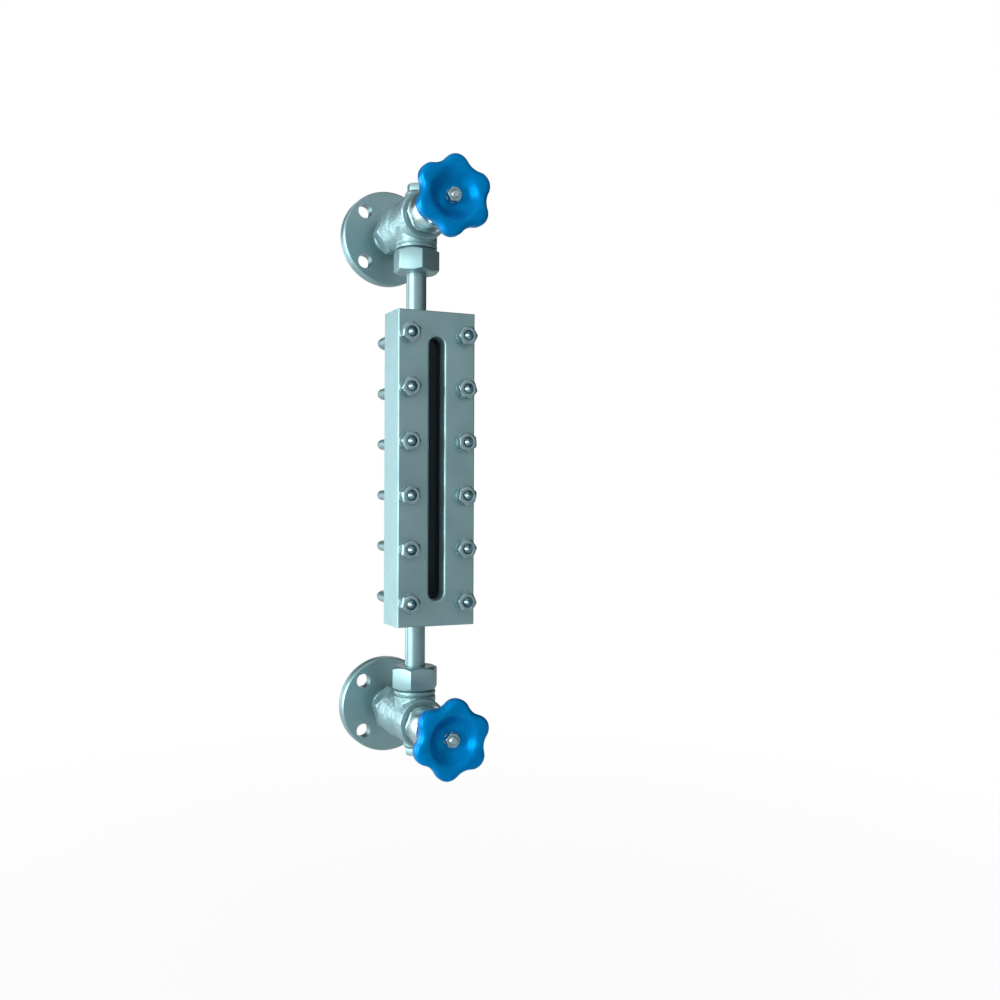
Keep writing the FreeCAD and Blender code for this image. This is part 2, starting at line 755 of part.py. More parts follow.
def bonnet(side):
    """Screwed bonnet with its hexagon, stuffing box and gland thread."""
    body = sub_part(side + "_bonnet")
    spigot = mm.bonnet_thread / 2 - mm.thread_gap
    neck = mm.bonnet_neck_diameter / 2
    gland = mm.gland_thread / 2
    corners = [
        (bonnet_rear, 0),
        (bonnet_rear, spigot),
        (bonnet_neck, spigot),
        (bonnet_neck, neck),
        (bonnet_hexagon, neck),
        (gland_thread, neck),
        (gland_thread, gland),
        (bonnet_front, gland),
        (bonnet_front, 0),
    ]
    turn_solid(body, "turned", level_profile(body, "section", corners), "H_Axis")
    sketch = new_sketch(body, "hexagon_outline", "XZ_Plane", bonnet_hexagon)
    hexagon(sketch, mm.bonnet_flats)
    pad(body, "hexagon", sketch, mm.bonnet_hexagon)
    break_corners(body, "rear_corners", mm.bonnet_flats, bonnet_hexagon, 1)
    break_corners(body, "front_corners", mm.bonnet_flats, gland_thread, -1)
    stem_hole = mm.stem_thread / 2 + mm.running_gap
    corners = [
        (bonnet_rear, 0),
        (bonnet_rear, stem_hole),
        (packing_rear, stem_hole),
        (packing_rear, mm.packing_diameter / 2),
        (bonnet_front, mm.packing_diameter / 2),
        (bonnet_front, 0),
    ]
    turn_cut(body, "bore", level_profile(body, "bore_section", corners), "H_Axis")
    place(body, side, CLOCKING[side]["bonnet"])


def bonnet_gasket(side):
    """Flat ring between the valve body and the bonnet."""
    inside = mm.bonnet_thread / 2
    outside = mm.bonnet_neck_diameter / 2
    ring = level_ring(side + "_bonnet_gasket", outside, inside, body_front, bonnet_neck)
    place(ring, side)


def packing(side):
    """Soft packing round the stem, and the gland that presses it."""
    inside = mm.stem_diameter / 2 + mm.running_gap
    outside = mm.packing_diameter / 2
    ring = level_ring(side + "_packing", outside, inside, packing_rear, packing_front)
    place(ring, side)
    gland = level_ring(side + "_gland", outside - mm.thread_gap, inside, packing_front, gland_nut_inside)
    place(gland, side)


def gland_nut(side):
    """Bright nut, round at the back and hexagon at the front."""
    body = sub_part(side + "_gland_nut")
    outside = mm.gland_nut_diameter / 2
    corners = [
        (gland_nut_rear, 0),
        (gland_nut_rear, outside - mm.edge_break),
        (gland_nut_rear + mm.edge_break, outside),
        (gland_nut_step, outside),
        (gland_nut_step, 0),
    ]
    turn_solid(body, "round", level_profile(body, "round_section", corners), "H_Axis")
    sketch = new_sketch(body, "hexagon_outline", "XZ_Plane", gland_nut_step)
    hexagon(sketch, mm.gland_nut_flats)
    pad(body, "hexagon", sketch, mm.gland_nut_hexagon)
    break_corners(body, "corners", mm.gland_nut_flats, gland_nut_front, -1)
    thread = mm.gland_thread / 2 + mm.thread_gap
    hole = mm.stem_diameter / 2 + mm.running_gap
    corners = [
        (gland_nut_rear, 0),
        (gland_nut_rear, thread),
        (gland_nut_inside, thread),
        (gland_nut_inside, hole),
        (gland_nut_front, hole),
        (gland_nut_front, 0),
    ]
    turn_cut(body, "bore", level_profile(body, "bore_section", corners), "H_Axis")
    place(body, side, CLOCKING[side]["gland_nut"])


def disc(side):
    """Shut-off disc that hangs on the stem's button and doesn't turn."""
    body = sub_part(side + "_disc")
    rim = mm.disc_diameter / 2
    neck = mm.disc_neck_diameter / 2
    socket = mm.stem_button / 2 + mm.seat_gap
    opening = mm.stem_neck / 2 + mm.running_gap
    corners = [
        (seat, 0),
        (seat, rim - mm.edge_break),
        (seat + mm.edge_break, rim),
        (disc_rim, rim),
        (disc_rim, neck),
        (disc_front, neck),
        (disc_front, opening),
        (button_front + mm.seat_gap, opening),
        (button_front + mm.seat_gap, socket),
        (disc_socket, socket),
        (disc_socket, 0),
    ]
    turn_solid(body, "turned", level_profile(body, "section", corners), "H_Axis")
    place(body, side)


def stem(side):
    """Stem with its button, thread, polished part, square and end thread."""
    body = sub_part(side + "_stem")
    button = mm.stem_button / 2
    neck = mm.stem_neck / 2
    thread = mm.stem_thread / 2
    polished = mm.stem_diameter / 2
    end = mm.stem_end / 2
    corners = [
        (button_rear, 0),
        (button_rear, button),
        (button_front, button),
        (button_front, neck),
        (stem_shoulder, neck),
        (stem_shoulder, thread),
        (stem_thread_end, thread),
        (stem_thread_end, polished),
        (hub_rear, polished),
        (hub_rear, end),
        (stem_front - mm.rod_point, end),
        (stem_front, end - mm.rod_point),
        (stem_front, 0),
    ]
    turn_solid(body, "turned", level_profile(body, "section", corners), "H_Axis")
    sketch = new_sketch(body, "square_outline", "XZ_Plane", hub_rear)
    half = mm.stem_square / 2
    polygon(sketch, [(half, half), (-half, half), (-half, -half), (half, -half)])
    pad(body, "square", sketch, mm.hub_length - mm.seat_gap)
    place(body, side, CLOCKING[side]["wheel"])


# Handwheel

def lobed_outline(sketch):
    """Six round lobes joined by hollow arcs, each tangent to its neighbours."""
    count = int(mm.wheel_lobes.value)
    step = 180.0 / count
    lobe_at = mm.wheel_diameter / 2 - mm.lobe_radius
    lobe = mm.lobe_radius.value
    valley = mm.valley_radius.value
    half_chord = lobe_at.value * math.sin(math.radians(step))
    rise = math.sqrt((lobe + valley) ** 2 - half_chord ** 2)
    valley_at = lobe_at.value * math.cos(math.radians(step)) + rise
    lean = math.degrees(math.asin(half_chord / (lobe + valley)))
    lobes = []
    valleys = []
    for index in range(count):
        heading = 90.0 + 2 * step * index
        turn = math.radians(heading)
        centre = Vector(lobe_at.value * math.cos(turn), lobe_at.value * math.sin(turn), 0)
        half_angle = step + lean
        edge = arc(centre, lobe, heading - half_angle, heading + half_angle)
        lobes.append(sketch.addGeometry(edge, False))
        fix_point(sketch, lobes[-1], 3, lobe_at * math.cos(turn), lobe_at * math.sin(turn))
        heading += step
        turn = math.radians(heading)
        centre = Vector(valley_at * math.cos(turn), valley_at * math.sin(turn), 0)
        inward = heading + 180.0
        valleys.append(sketch.addGeometry(arc(centre, valley, inward - lean, inward + lean), False))
    for index in range(count):
        following = lobes[(index + 1) % count]
        sketch.addConstraint(Sketcher.Constraint("Tangent", lobes[index], 2, valleys[index], 2))
        sketch.addConstraint(Sketcher.Constraint("Tangent", valleys[index], 1, following, 1))
    for members, radius in ((lobes, mm.lobe_radius), (valleys, mm.valley_radius)):
        for member in members:
            held = sketch.addConstraint(Sketcher.Constraint("Radius", member, radius.value))
            bind(sketch, "Constraints[%d]" % held, radius)


def handwheel(side):
    """Lobed handwheel with a dished front, hollow back and square hole."""
    body = sub_part(side + "_handwheel")
    sketch = new_sketch(body, "rim_outline", "XZ_Plane", rim_rear)
    lobed_outline(sketch)
    pad(body, "rim", sketch, mm.rim_thickness)
    names = edges_at(body, rim_front) + edges_at(body, rim_rear)
    round_edges(body, "rim_edges", names, mm.rim_rounding)
    floor = mm.dish_floor_diameter / 2
    mouth = mm.dish_diameter / 2
    corners = [(hub_front, 0), (hub_front, floor), (rim_front, mouth), (rim_front, 0)]
    turn_cut(body, "dish", level_profile(body, "dish_section", corners), "H_Axis")
    mouth_edge = [name for name in edges_at(body, rim_front) if body.Tip.Shape.getElement(name).isClosed()]
    round_edges(body, "dish_mouth", mouth_edge, mm.dish_mouth_rounding)
    names = edges_at(body, hub_front)
    round_edges(body, "dish_floor", names, mm.dish_floor_rounding)
    hollow = mm.back_hollow_diameter / 2
    hub = mm.hub_diameter / 2
    cone_rear = hub_front - mm.web_thickness
    corners = [
        (rim_rear, hub),
        (rim_rear, hollow),
        (rim_front - mm.web_thickness - mm.edge_break, hollow - mm.edge_break),
        (rim_front - mm.web_thickness - mm.edge_break, mouth + mm.edge_break),
        (cone_rear, hub + mm.edge_break),
    ]
    turn_cut(body, "hollow", level_profile(body, "hollow_section", corners), "H_Axis")
    corners = [(hub_rear, 0), (hub_rear, hub), (hub_front - mm.web_thickness / 2, hub),
               (hub_front - mm.web_thickness / 2, 0)]
    turn_solid(body, "hub", level_profile(body, "hub_section", corners), "H_Axis")
    sketch = new_sketch(body, "square_outline", "XZ_Plane", hub_rear)
    half = mm.stem_square / 2 + mm.thread_gap
    polygon(sketch, [(half, half), (-half, half), (-half, -half), (half, -half)])
    pocket(body, "square", sketch, mm.hub_length)
    place_wheel(body, side)


def place_wheel(body, side):
    """Handwheel pieces keep their front view on both valves."""
    body.Placement = Placement(Vector(0, 0, 0), Rotation(Vector(0, -1, 0), CLOCKING[side]["wheel"]))
    if side == "upper":
        bind(body, "Placement.Base.z", mm.centre_distance)


def wheel_fixings(side):
    """Washer and nut that hold the handwheel on the stem."""
    inside = mm.stem_end / 2 + mm.thread_gap
    outside = mm.wheel_washer_diameter / 2
    washer = level_ring(side + "_wheel_washer", outside, inside, hub_front, wheel_nut_rear)
    place_wheel(washer, side)
    body = sub_part(side + "_wheel_nut")
    sketch = new_sketch(body, "outline", "XZ_Plane", wheel_nut_rear)
    hexagon(sketch, mm.wheel_nut_flats)
    circle(sketch, 0, 0, mm.stem_end + mm.thread_gap)
    pad(body, "blank", sketch, mm.wheel_nut_height)
    break_corners(body, "corners", mm.wheel_nut_flats, wheel_nut_front, -1)
    place_wheel(body, side)


# Union between valve and gauge pipe

def union_nut(side):
    """Hexagon nut on the valve outlet."""
    body = sub_part(side + "_union_nut")
    sketch = new_sketch(body, "outline", "XY_Plane", union_nut_start)
    hexagon(sketch, mm.union_nut_flats)
    pad(body, "blank", sketch, mm.union_nut_length)
    thread = mm.union_thread / 2 + mm.thread_gap
    hole = mm.pipe_diameter / 2 + mm.thread_gap
    corners = [
        (0, union_nut_start),
        (thread, union_nut_start),
        (thread, union_collar_end),
        (hole, union_collar_end),
        (hole, union_nut_end),
        (0, union_nut_end),
    ]
    turn_cut(body, "bore", upright_profile(body, "bore_section", corners), "V_Axis")
    break_corners(body, "first_corners", mm.union_nut_flats, union_nut_start, 1, upright=True)
    break_corners(body, "last_corners", mm.union_nut_flats, union_nut_end, -1, upright=True)
    place_upright(body, side, CLOCKING[side]["union_nut"])


def union_seal(side):
    """Flat ring and welded collar inside the union nut."""
    outside = mm.union_collar_diameter / 2
    bore = mm.outlet_bore / 2 + mm.gasket_setback
    ring = upright_ring(side + "_union_gasket", outside, bore, union_thread_end, union_collar)
    place_upright(ring, side)
    inside = mm.pipe_diameter / 2 + mm.thread_gap
    collar = upright_ring(side + "_union_collar", outside, inside, union_collar, union_collar_end)
    place_upright(collar, side)


def gauge_pipe(side):
    """Pipe from the union collar into the chamber, with its weld bead."""
    body = sub_part(side + "_pipe")
    outside = mm.pipe_diameter / 2
    bore = mm.outlet_bore / 2
    corners = [
        (bore, union_collar),
        (outside, union_collar),
        (outside, gauge_bottom - mm.pipe_weld),
        (outside + mm.pipe_weld, gauge_bottom),
        (outside, gauge_bottom),
        (outside, gauge_bottom + mm.pipe_socket),
        (bore, gauge_bottom + mm.pipe_socket),
    ]
    turn_solid(body, "turned", upright_profile(body, "section", corners), "V_Axis")
    place_upright(body, side)


# Gauge

def front_cover():
    """Thick cover bar with its window, glass pocket and bolt holes."""
    body = sub_part("front_cover")
    half = mm.cover_width / 2
    top = mm.cover_height / 2
    sketch = new_sketch(body, "outline", "XZ_Plane", cover_rear, shift_y=middle)
    polygon(sketch, [(half, top), (-half, top), (-half, -top), (half, -top)])
    pad(body, "blank", sketch, mm.cover_depth)
    round_edges(body, "front_edges", edges_at(body, cover_front), mm.cover_edge)
    sketch = new_sketch(body, "pocket_outline", "XZ_Plane", cover_rear, shift_y=middle)
    stadium(sketch, mm.glass_width + 2 * mm.glass_side_gap, mm.glass_length + 2 * mm.glass_side_gap)
    pocket(body, "glass_pocket", sketch, mm.cover_depth - mm.window_wall)
    mouth = new_sketch(body, "window_mouth", "XZ_Plane", cover_front, shift_y=middle)
    stadium(mouth, window_width, window_length)
    throat = new_sketch(body, "window_throat", "XZ_Plane", cover_front - mm.window_wall, shift_y=middle)
    stadium(throat, throat_width, throat_length)
    window = body.newObject("PartDesign::SubtractiveLoft", "window")
    window.Profile = mouth
    window.Sections = [throat]
    window.Ruled = True
    doc.recompute()
    round_edges(body, "window_edges", edges_within(body, cover_front, window_width), mm.window_rounding)
    sketch = new_sketch(body, "bolt_holes", "XZ_Plane", cover_rear, shift_y=first_row)
    circle(sketch, -leg_offset, 0, mm.rod_hole)
    circle(sketch, leg_offset, 0, mm.rod_hole)
    pair = pocket(body, "row", sketch, mm.cover_depth)
    row_pattern(body, [pair], sketch)


def row_pattern(body, originals, sketch):
    """Repeat features up the gauge, once for each row of bolts."""
    rows = body.newObject("PartDesign::LinearPattern", "rows")
    rows.Originals = originals
    rows.Direction = (sketch, ["V_Axis"])
    bind(rows, "Length", row_span)
    bind(rows, "Occurrences", mm.row_count)
    body.Tip = rows
    doc.recompute()
    return rows


def chamber():
    """Liquid chamber: round-backed bar with a tongue, bore and slot."""
    body = sub_part("chamber")
    half = mm.chamber_width / 2
    sketch = new_sketch(body, "section", "XY_Plane", gauge_bottom)
    x = half.value
    straight = -chamber_back_centre.value
    front = -chamber_front.value
    points = [Vector(-x, straight, 0), Vector(-x, front, 0), Vector(x, front, 0), Vector(x, straight, 0)]
    for start, end in zip(points, points[1:]):
        sketch.addGeometry(Part.LineSegment(start, end), False)
    back = sketch.addGeometry(arc(Vector(0, straight, 0), x, 0, 180), False)
    sketch.addConstraint(Sketcher.Constraint("Coincident", 0, 2, 1, 1))
    sketch.addConstraint(Sketcher.Constraint("Coincident", 1, 2, 2, 1))
    sketch.addConstraint(Sketcher.Constraint("Tangent", 2, 2, back, 1))
    sketch.addConstraint(Sketcher.Constraint("Tangent", back, 2, 0, 1))
    fix_point(sketch, 1, 1, -half, -chamber_front)
    fix_point(sketch, 1, 2, half, -chamber_front)
    fix_point(sketch, back, 3, 0, -chamber_back_centre)
    pad(body, "bar", sketch, mm.cover_height)
    sketch = new_sketch(body, "tongue_outline", "XZ_Plane", chamber_front, shift_y=middle)
    stadium(sketch, mm.glass_width, mm.glass_length)
    pad(body, "tongue", sketch, tongue_front - chamber_front)
    sketch = new_sketch(body, "slot_outline", "XZ_Plane", tongue_front, shift_y=middle)
    stadium(sketch, slot_width, slot_length)
    pocket(body, "slot", sketch, tongue_front - mm.reach, True)
    bore = mm.chamber_bore / 2
    socket = mm.pipe_diameter / 2 + mm.thread_gap
    top = gauge_bottom + mm.cover_height
    corners = [
        (0, gauge_bottom),
        (socket, gauge_bottom),
        (socket, gauge_bottom + mm.pipe_socket),
        (bore, gauge_bottom + mm.pipe_socket),
        (bore, top - mm.pipe_socket),
        (socket, top - mm.pipe_socket),
        (socket, top),
        (0, top),
    ]
    turn_cut(body, "bore", upright_profile(body, "bore_section", corners, mm.reach), "V_Axis")


def glass_seal(label, opening_width, opening_length, start, thickness):
    """A flat seal as large as the glass, with a long opening."""
    body = sub_part(label)
    sketch = new_sketch(body, "outline", "XZ_Plane", start, shift_y=middle)
    stadium(sketch, mm.glass_width, mm.glass_length)
    stadium(sketch, opening_width, opening_length)
    pad(body, "sheet", sketch, thickness)


def sight_glass():
    """Reflex glass: flat in front, with upright prism grooves behind."""
    body = sub_part("sight_glass")
    sketch = new_sketch(body, "outline", "XZ_Plane", glass_rear, shift_y=middle)
    stadium(sketch, mm.glass_width, mm.glass_length)
    pad(body, "blank", sketch, mm.glass_thickness)
    first_groove = mm.prism_pitch * (mm.prism_count - 1) / -2
    sketch = new_sketch(body, "groove_section", "XY_Plane", middle - prism_length / 2)
    depth = mm.prism_pitch / 2
    corners = [
        (first_groove - depth, -glass_rear),
        (first_groove, -glass_rear - depth),
        (first_groove + depth, -glass_rear),
    ]
    polygon(sketch, corners)
    groove = pocket(body, "groove", sketch, prism_length)
    grooves = body.newObject("PartDesign::LinearPattern", "grooves")
    grooves.Originals = [groove]
    grooves.Direction = (sketch, ["H_Axis"])
    bind(grooves, "Length", mm.prism_pitch * (mm.prism_count - 1))
    bind(grooves, "Occurrences", mm.prism_count)
    body.Tip = grooves
    doc.recompute()


def u_bolts():
    """Bolts bent round the chamber, both ends through the cover."""
    body = sub_part("u_bolts")
    path = new_sketch(body, "path", "XY_Plane", first_row)
    x = leg_offset.value
    bend = -chamber_back_centre.value
    tip = -rod_front.value
    left = path.addGeometry(Part.LineSegment(Vector(-x, tip, 0), Vector(-x, bend, 0)), False)
    back = path.addGeometry(arc(Vector(0, bend, 0), x, 0, 180), False)
    right = path.addGeometry(Part.LineSegment(Vector(x, bend, 0), Vector(x, tip, 0)), False)
    path.addConstraint(Sketcher.Constraint("Tangent", left, 2, back, 2))
    path.addConstraint(Sketcher.Constraint("Tangent", back, 1, right, 1))
    fix_point(path, left, 1, -leg_offset, -rod_front)
    fix_point(path, right, 2, leg_offset, -rod_front)
    fix_point(path, back, 3, 0, -chamber_back_centre)
    section = new_sketch(body, "section", "XZ_Plane", rod_front, shift_y=first_row)
    circle(section, -leg_offset, 0, mm.rod_diameter)
    rod = body.newObject("PartDesign::AdditivePipe", "rod")
    rod.Profile = section
    rod.Spine = (path, ["Edge1", "Edge2", "Edge3"])
    doc.recompute()
    row_pattern(body, [rod], section)


def cover_nuts():
    """Washers and nuts on the front of the cover, each pair per row."""
    washers = sub_part("washers")
    sketch = new_sketch(washers, "outline", "XZ_Plane", cover_front, shift_y=first_row)
    for across in (-leg_offset, leg_offset):
        circle(sketch, across, 0, mm.washer_diameter)
        circle(sketch, across, 0, mm.rod_diameter + 2 * mm.thread_gap)
    row_pattern(washers, [pad(washers, "pair", sketch, mm.washer_thickness)], sketch)
    nuts = sub_part("nuts")
    sketch = new_sketch(nuts, "outline", "XZ_Plane", nut_rear, shift_y=first_row)
    for across in (-leg_offset, leg_offset):
        hexagon(sketch, mm.nut_flats, NUT_TURN, across)
        circle(sketch, across, 0, mm.rod_diameter + 2 * mm.thread_gap)
    made = [pad(nuts, "pair", sketch, mm.nut_height)]
    section = corner_section(mm.nut_flats, nut_front, -1)
    for name, across in (("left_corners", -leg_offset), ("right_corners", leg_offset)):
        profile = new_sketch(nuts, name + "_section", "YZ_Plane", across, shift_y=first_row)
        polygon(profile, [(-depth, radius) for depth, radius in section])
        made.append(turn_cut(nuts, name, profile, "H_Axis"))
    row_pattern(nuts, made, sketch)


# Build

for side, plug_name in (("lower", "drain_plug"), ("upper", "vent_plug")):
    flange(side)
    tail_nut(side)
    tail_gasket(side)
    valve_body(side)
    plug(side, plug_name)
    bonnet_gasket(side)
    bonnet(side)
    packing(side)
    gland_nut(side)
    disc(side)
    stem(side)
    handwheel(side)
    wheel_fixings(side)
    union_nut(side)
    union_seal(side)
    gauge_pipe(side)

front_cover()
glass_seal("glass_cushion", throat_width, throat_length, cushion_rear, mm.cushion_thickness)
sight_glass()
glass_seal("glass_gasket", slot_width, slot_length, tongue_front, mm.gasket_thickness)
chamber()
u_bolts()
cover_nuts()
doc.recompute()

# Every object and every sub-part has to be sound before anything is written

for item in doc.Objects:
    if "Invalid" in item.State or "Error" in item.State:
        raise RuntimeError("%s failed: %s" % (item.Label, item.State))
for body in SUB_PARTS:
    if body.Shape.isNull() or not body.Shape.isValid():
        raise RuntimeError("%s has no valid shape" % body.Label)

os.makedirs("parts", exist_ok=True)
for body in SUB_PARTS:
    body.Shape.exportStep("parts/%s.step" % body.Label)
    print("%-24s %3d solids %12.1f mm3" % (body.Label, len(body.Shape.Solids), body.Shape.Volume))
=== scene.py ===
import json
import math

import bmesh
import bpy
import numpy as np
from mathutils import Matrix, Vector

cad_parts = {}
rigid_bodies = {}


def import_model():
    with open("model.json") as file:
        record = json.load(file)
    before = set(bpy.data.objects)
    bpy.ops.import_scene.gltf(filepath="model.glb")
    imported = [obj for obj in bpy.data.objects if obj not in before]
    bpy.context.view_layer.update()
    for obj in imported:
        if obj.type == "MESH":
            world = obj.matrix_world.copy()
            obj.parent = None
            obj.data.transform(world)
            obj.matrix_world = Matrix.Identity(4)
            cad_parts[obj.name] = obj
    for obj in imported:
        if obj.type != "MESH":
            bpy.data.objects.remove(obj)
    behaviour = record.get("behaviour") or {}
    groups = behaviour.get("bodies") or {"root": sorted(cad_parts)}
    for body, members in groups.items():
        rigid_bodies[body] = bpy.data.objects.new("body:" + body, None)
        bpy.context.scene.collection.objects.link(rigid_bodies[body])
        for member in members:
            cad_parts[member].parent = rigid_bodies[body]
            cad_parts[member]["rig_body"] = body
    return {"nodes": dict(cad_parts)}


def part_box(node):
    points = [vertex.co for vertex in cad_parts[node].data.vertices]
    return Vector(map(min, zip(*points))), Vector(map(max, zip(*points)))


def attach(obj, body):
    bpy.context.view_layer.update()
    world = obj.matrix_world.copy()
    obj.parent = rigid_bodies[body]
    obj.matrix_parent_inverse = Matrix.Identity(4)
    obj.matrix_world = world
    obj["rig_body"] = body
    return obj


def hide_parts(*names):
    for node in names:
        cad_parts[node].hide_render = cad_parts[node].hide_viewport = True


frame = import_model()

bl_info = {
    "name": "Tank level gauge",
    "version": (1, 0, 0),
    "blender": (4, 5, 0),
    "location": "3D View > Sidebar > Level Gauge",
    "description": "Dresses the packed level gauge: threads, castings, welds, finishes and studio",
    "category": "Object",
}

# Lengths in the tables below are millimetres, and MM turns them into metres.
# "Depth" is measured from the flanges' sealing faces to the front, along -Y.
# "Height" on a valve is measured from its axis towards the gauge.
MM = 0.001
SIDES = ("lower", "upper")
UV_NAME = "surface"
# Points nearer than this are one point
SAME_POINT = 0.002 * MM
# Chamfer of the nuts, rows in one turn of a thread, and its depth as a share of the pitch
CHAMFER = math.radians(30)
THREAD_ROWS = 6
THREAD_DEPTH = 0.6


# Places taken from the frame

def depths(node):
    """Rear and front of a CAD node."""
    low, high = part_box(node)
    return -high.y / MM, -low.y / MM


def axis_height(side):
    """Height of a valve's axis above the lower one."""
    low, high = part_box(side + "_flange")
    return (low.z + high.z) / 2 / MM


def gauge_way(side):
    """1 where the gauge is above the valve, and -1 where it is below."""
    low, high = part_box(side + "_pipe")
    return 1 if (low.z + high.z) / 2 / MM > axis_height(side) else -1


def height_span(side, node):
    """Lowest and highest place of a node on its valve, counted towards the gauge."""
    low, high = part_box(node)
    ends = [(edge / MM - axis_height(side)) * gauge_way(side) for edge in (low.z, high.z)]
    return min(ends), max(ends)


def pipe_depth():
    """Depth of the gauge pipes' axis."""
    rear, front = depths("lower_pipe")
    return (rear + front) / 2


def body_of(node):
    """The moving body that carries a CAD node."""
    return frame["nodes"][node]["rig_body"]


# How far each piece was turned when it was screwed tight, in degrees

CLOCKING = {
    "lower_tail_nut": -14.0,
    "lower_union_nut": 0.0,
    "lower_bonnet": 8.0,
    "lower_gland_nut": 20.0,
    "lower_wheel": -10.0,
    "lower_drain_plug": 12.0,
    "upper_tail_nut": 5.0,
    "upper_union_nut": 24.5,
    "upper_bonnet": -6.0,
    "upper_gland_nut": 5.0,
    "upper_wheel": -4.0,
    "upper_vent_plug": 25.0,
}


def clocked(name):
    """How far a piece was turned, in radians."""
    return math.radians(CLOCKING[name])


# Sizes and colours that a user would change

def linear(hex_text):
    """Linear red, green, blue and alpha of an sRGB hex value."""
    parts = np.array([int(hex_text[at:at + 2], 16) for at in (1, 3, 5)]) / 255
    low = parts / 12.92
    high = ((parts + 0.055) / 1.055) ** 2.4
    return (*np.where(parts <= 0.04045, low, high).tolist(), 1.0)


def length(name, description, millimetres):
    """A length property whose default is given in millimetres."""
    return bpy.props.FloatProperty(
        name=name, description=description, default=millimetres * MM, min=0.0, unit="LENGTH",
        precision=5
    )


def tint(name, description, hex_text):
    """A colour property whose default is given as an sRGB hex value."""
    return bpy.props.FloatVectorProperty(
        name=name, description=description, default=linear(hex_text), size=4, min=0.0, max=1.0,
        subtype="COLOR"
    )


class GaugeHandwheelSizes(bpy.types.PropertyGroup):
    rim_radius: length("Rim radius", "From the axis to the tip of a lobe", 38.0)
    lobe_radius: length("Lobe radius", "Rounding of one lobe of the rim", 12.5)
    valley_radius: length("Valley radius", "Hollow between two lobes", 19.0)
    bowl_radius: length("Bowl radius", "Mouth of the bowl round the nut", 24.5)
    bore_flats: length("Square bore", "Square hole for the stem, across flats", 8.2)


class GaugeNutSizes(bpy.types.PropertyGroup):
    corner_rounding: length("Corner rounding", "Rounding of the upright edges of a hexagon", 0.9)
    edge_rounding: length("Edge rounding", "Softness of the turned edges of a nut", 0.45)
    land_share: bpy.props.FloatProperty(
        name="Land", description="Share of the flats left flat on a nut's end",
        default=0.94, min=0.5, max=1.0, subtype="FACTOR"
    )


class GaugeThreadSizes(bpy.types.PropertyGroup):
    gland_pitch: length("Gland pitch", "Thread pitch under the gland nut", 2.0)
    bolt_pitch: length("Bolt pitch", "Thread pitch of the clamping bolts", 1.5)
    stem_pitch: length("Stem pitch", "Thread pitch of the stem in the bonnet", 2.0)
    stem_end_pitch: length("Stem end pitch", "Thread pitch under the handwheel nut", 1.25)
    bolt_length: length("Bolt thread", "Threaded length at each end of a clamping bolt", 30.0)


class GaugeWeldSizes(bpy.types.PropertyGroup):
    bead_radius: length("Bead radius", "Half the thickness of a weld bead", 2.0)
    ripple_spacing: length("Ripple spacing", "Distance between two ripples of a bead", 2.6)


class GaugeCastingSizes(bpy.types.PropertyGroup):
    grain: length("Grain", "Smallest form kept on the forged valve bodies", 0.6)
    blend_passes: bpy.props.IntProperty(
        name="Blend passes", description="How often the forged bodies' edges are softened", default=3, min=0
    )
    skin_depth: length("Skin depth", "How deep the forging scale has dented the valve bodies", 0.12)


class GaugeColours(bpy.types.PropertyGroup):
    paint: tint("Paint", "Aluminium paint on the valves, cover and chamber", "#94B6BA")
    paint_shade: tint("Paint shade", "Where the flakes of the paint lie deeper", "#7A9BA1")
    enamel: tint("Enamel", "Blue enamel of the handwheels", "#0089D1")
    enamel_shade: tint("Enamel shade", "Where the enamel lies thicker", "#007CC2")
    enamel_gloss: tint("Enamel gloss", "Tint of the enamel's reflections", "#38D4FF")
    steel: tint("Turned steel", "Bright turned steel", "#C6DCE1")
    zinc: tint("Zinc", "Zinc plated steel", "#A8C6CB")
    zinc_dull: tint("Dull zinc", "Where the plating has gone dull", "#7F9CA2")
    # Painted shade: the glass is coloured near black to stand in for the dark chamber seen through it
    glass: tint("Glass", "Reflex glass in front of the dark chamber", "#2A3236")
    glass_shine: tint("Glass shine", "Tint of the glass's reflections", "#B3CBDC")
    fibre: tint("Fibre sheet", "Compressed fibre of the seals", "#6F7C74")
    graphite: tint("Graphite", "Braided graphite packing", "#2B2C2F")
    floor: tint("Floor", "Floor and backdrop", "#EDEEEF")


class GaugeStudio(bpy.types.PropertyGroup):
    camera_place: bpy.props.FloatVectorProperty(
        name="Camera place", description="Where the camera stands",
        default=(-0.36920, -1.09568, 0.22548), subtype="TRANSLATION", unit="LENGTH", precision=5
    )
    camera_turn: bpy.props.FloatVectorProperty(
        name="Camera turn", description="How the camera is turned",
        default=tuple(math.radians(angle) for angle in (89.715, -0.243, -24.889)), subtype="EULER"
    )
    lens: bpy.props.FloatProperty(
        name="Lens", description="Focal length on a 36 mm sensor", default=38.08, unit="CAMERA"
    )
    floor_height: bpy.props.FloatProperty(
        name="Floor height", description="Height of the floor, counted from the lower valve's axis",
        default=-0.30, unit="LENGTH"
    )
    key_power: bpy.props.FloatProperty(
        name="Key light", description="Power of the large soft light", default=52.0, unit="POWER"
    )
    rim_power: bpy.props.FloatProperty(
        name="Rim light", description="Power of the soft light behind on the left", default=11.5, unit="POWER"
    )


# Outlines: distance from the axis as a function of the angle round it

def from_nearest(angles, count, first):
    """Angle to the nearest of `count` evenly spaced directions."""
    step = math.tau / count
    return (angles - first + step / 2) % step - step / 2


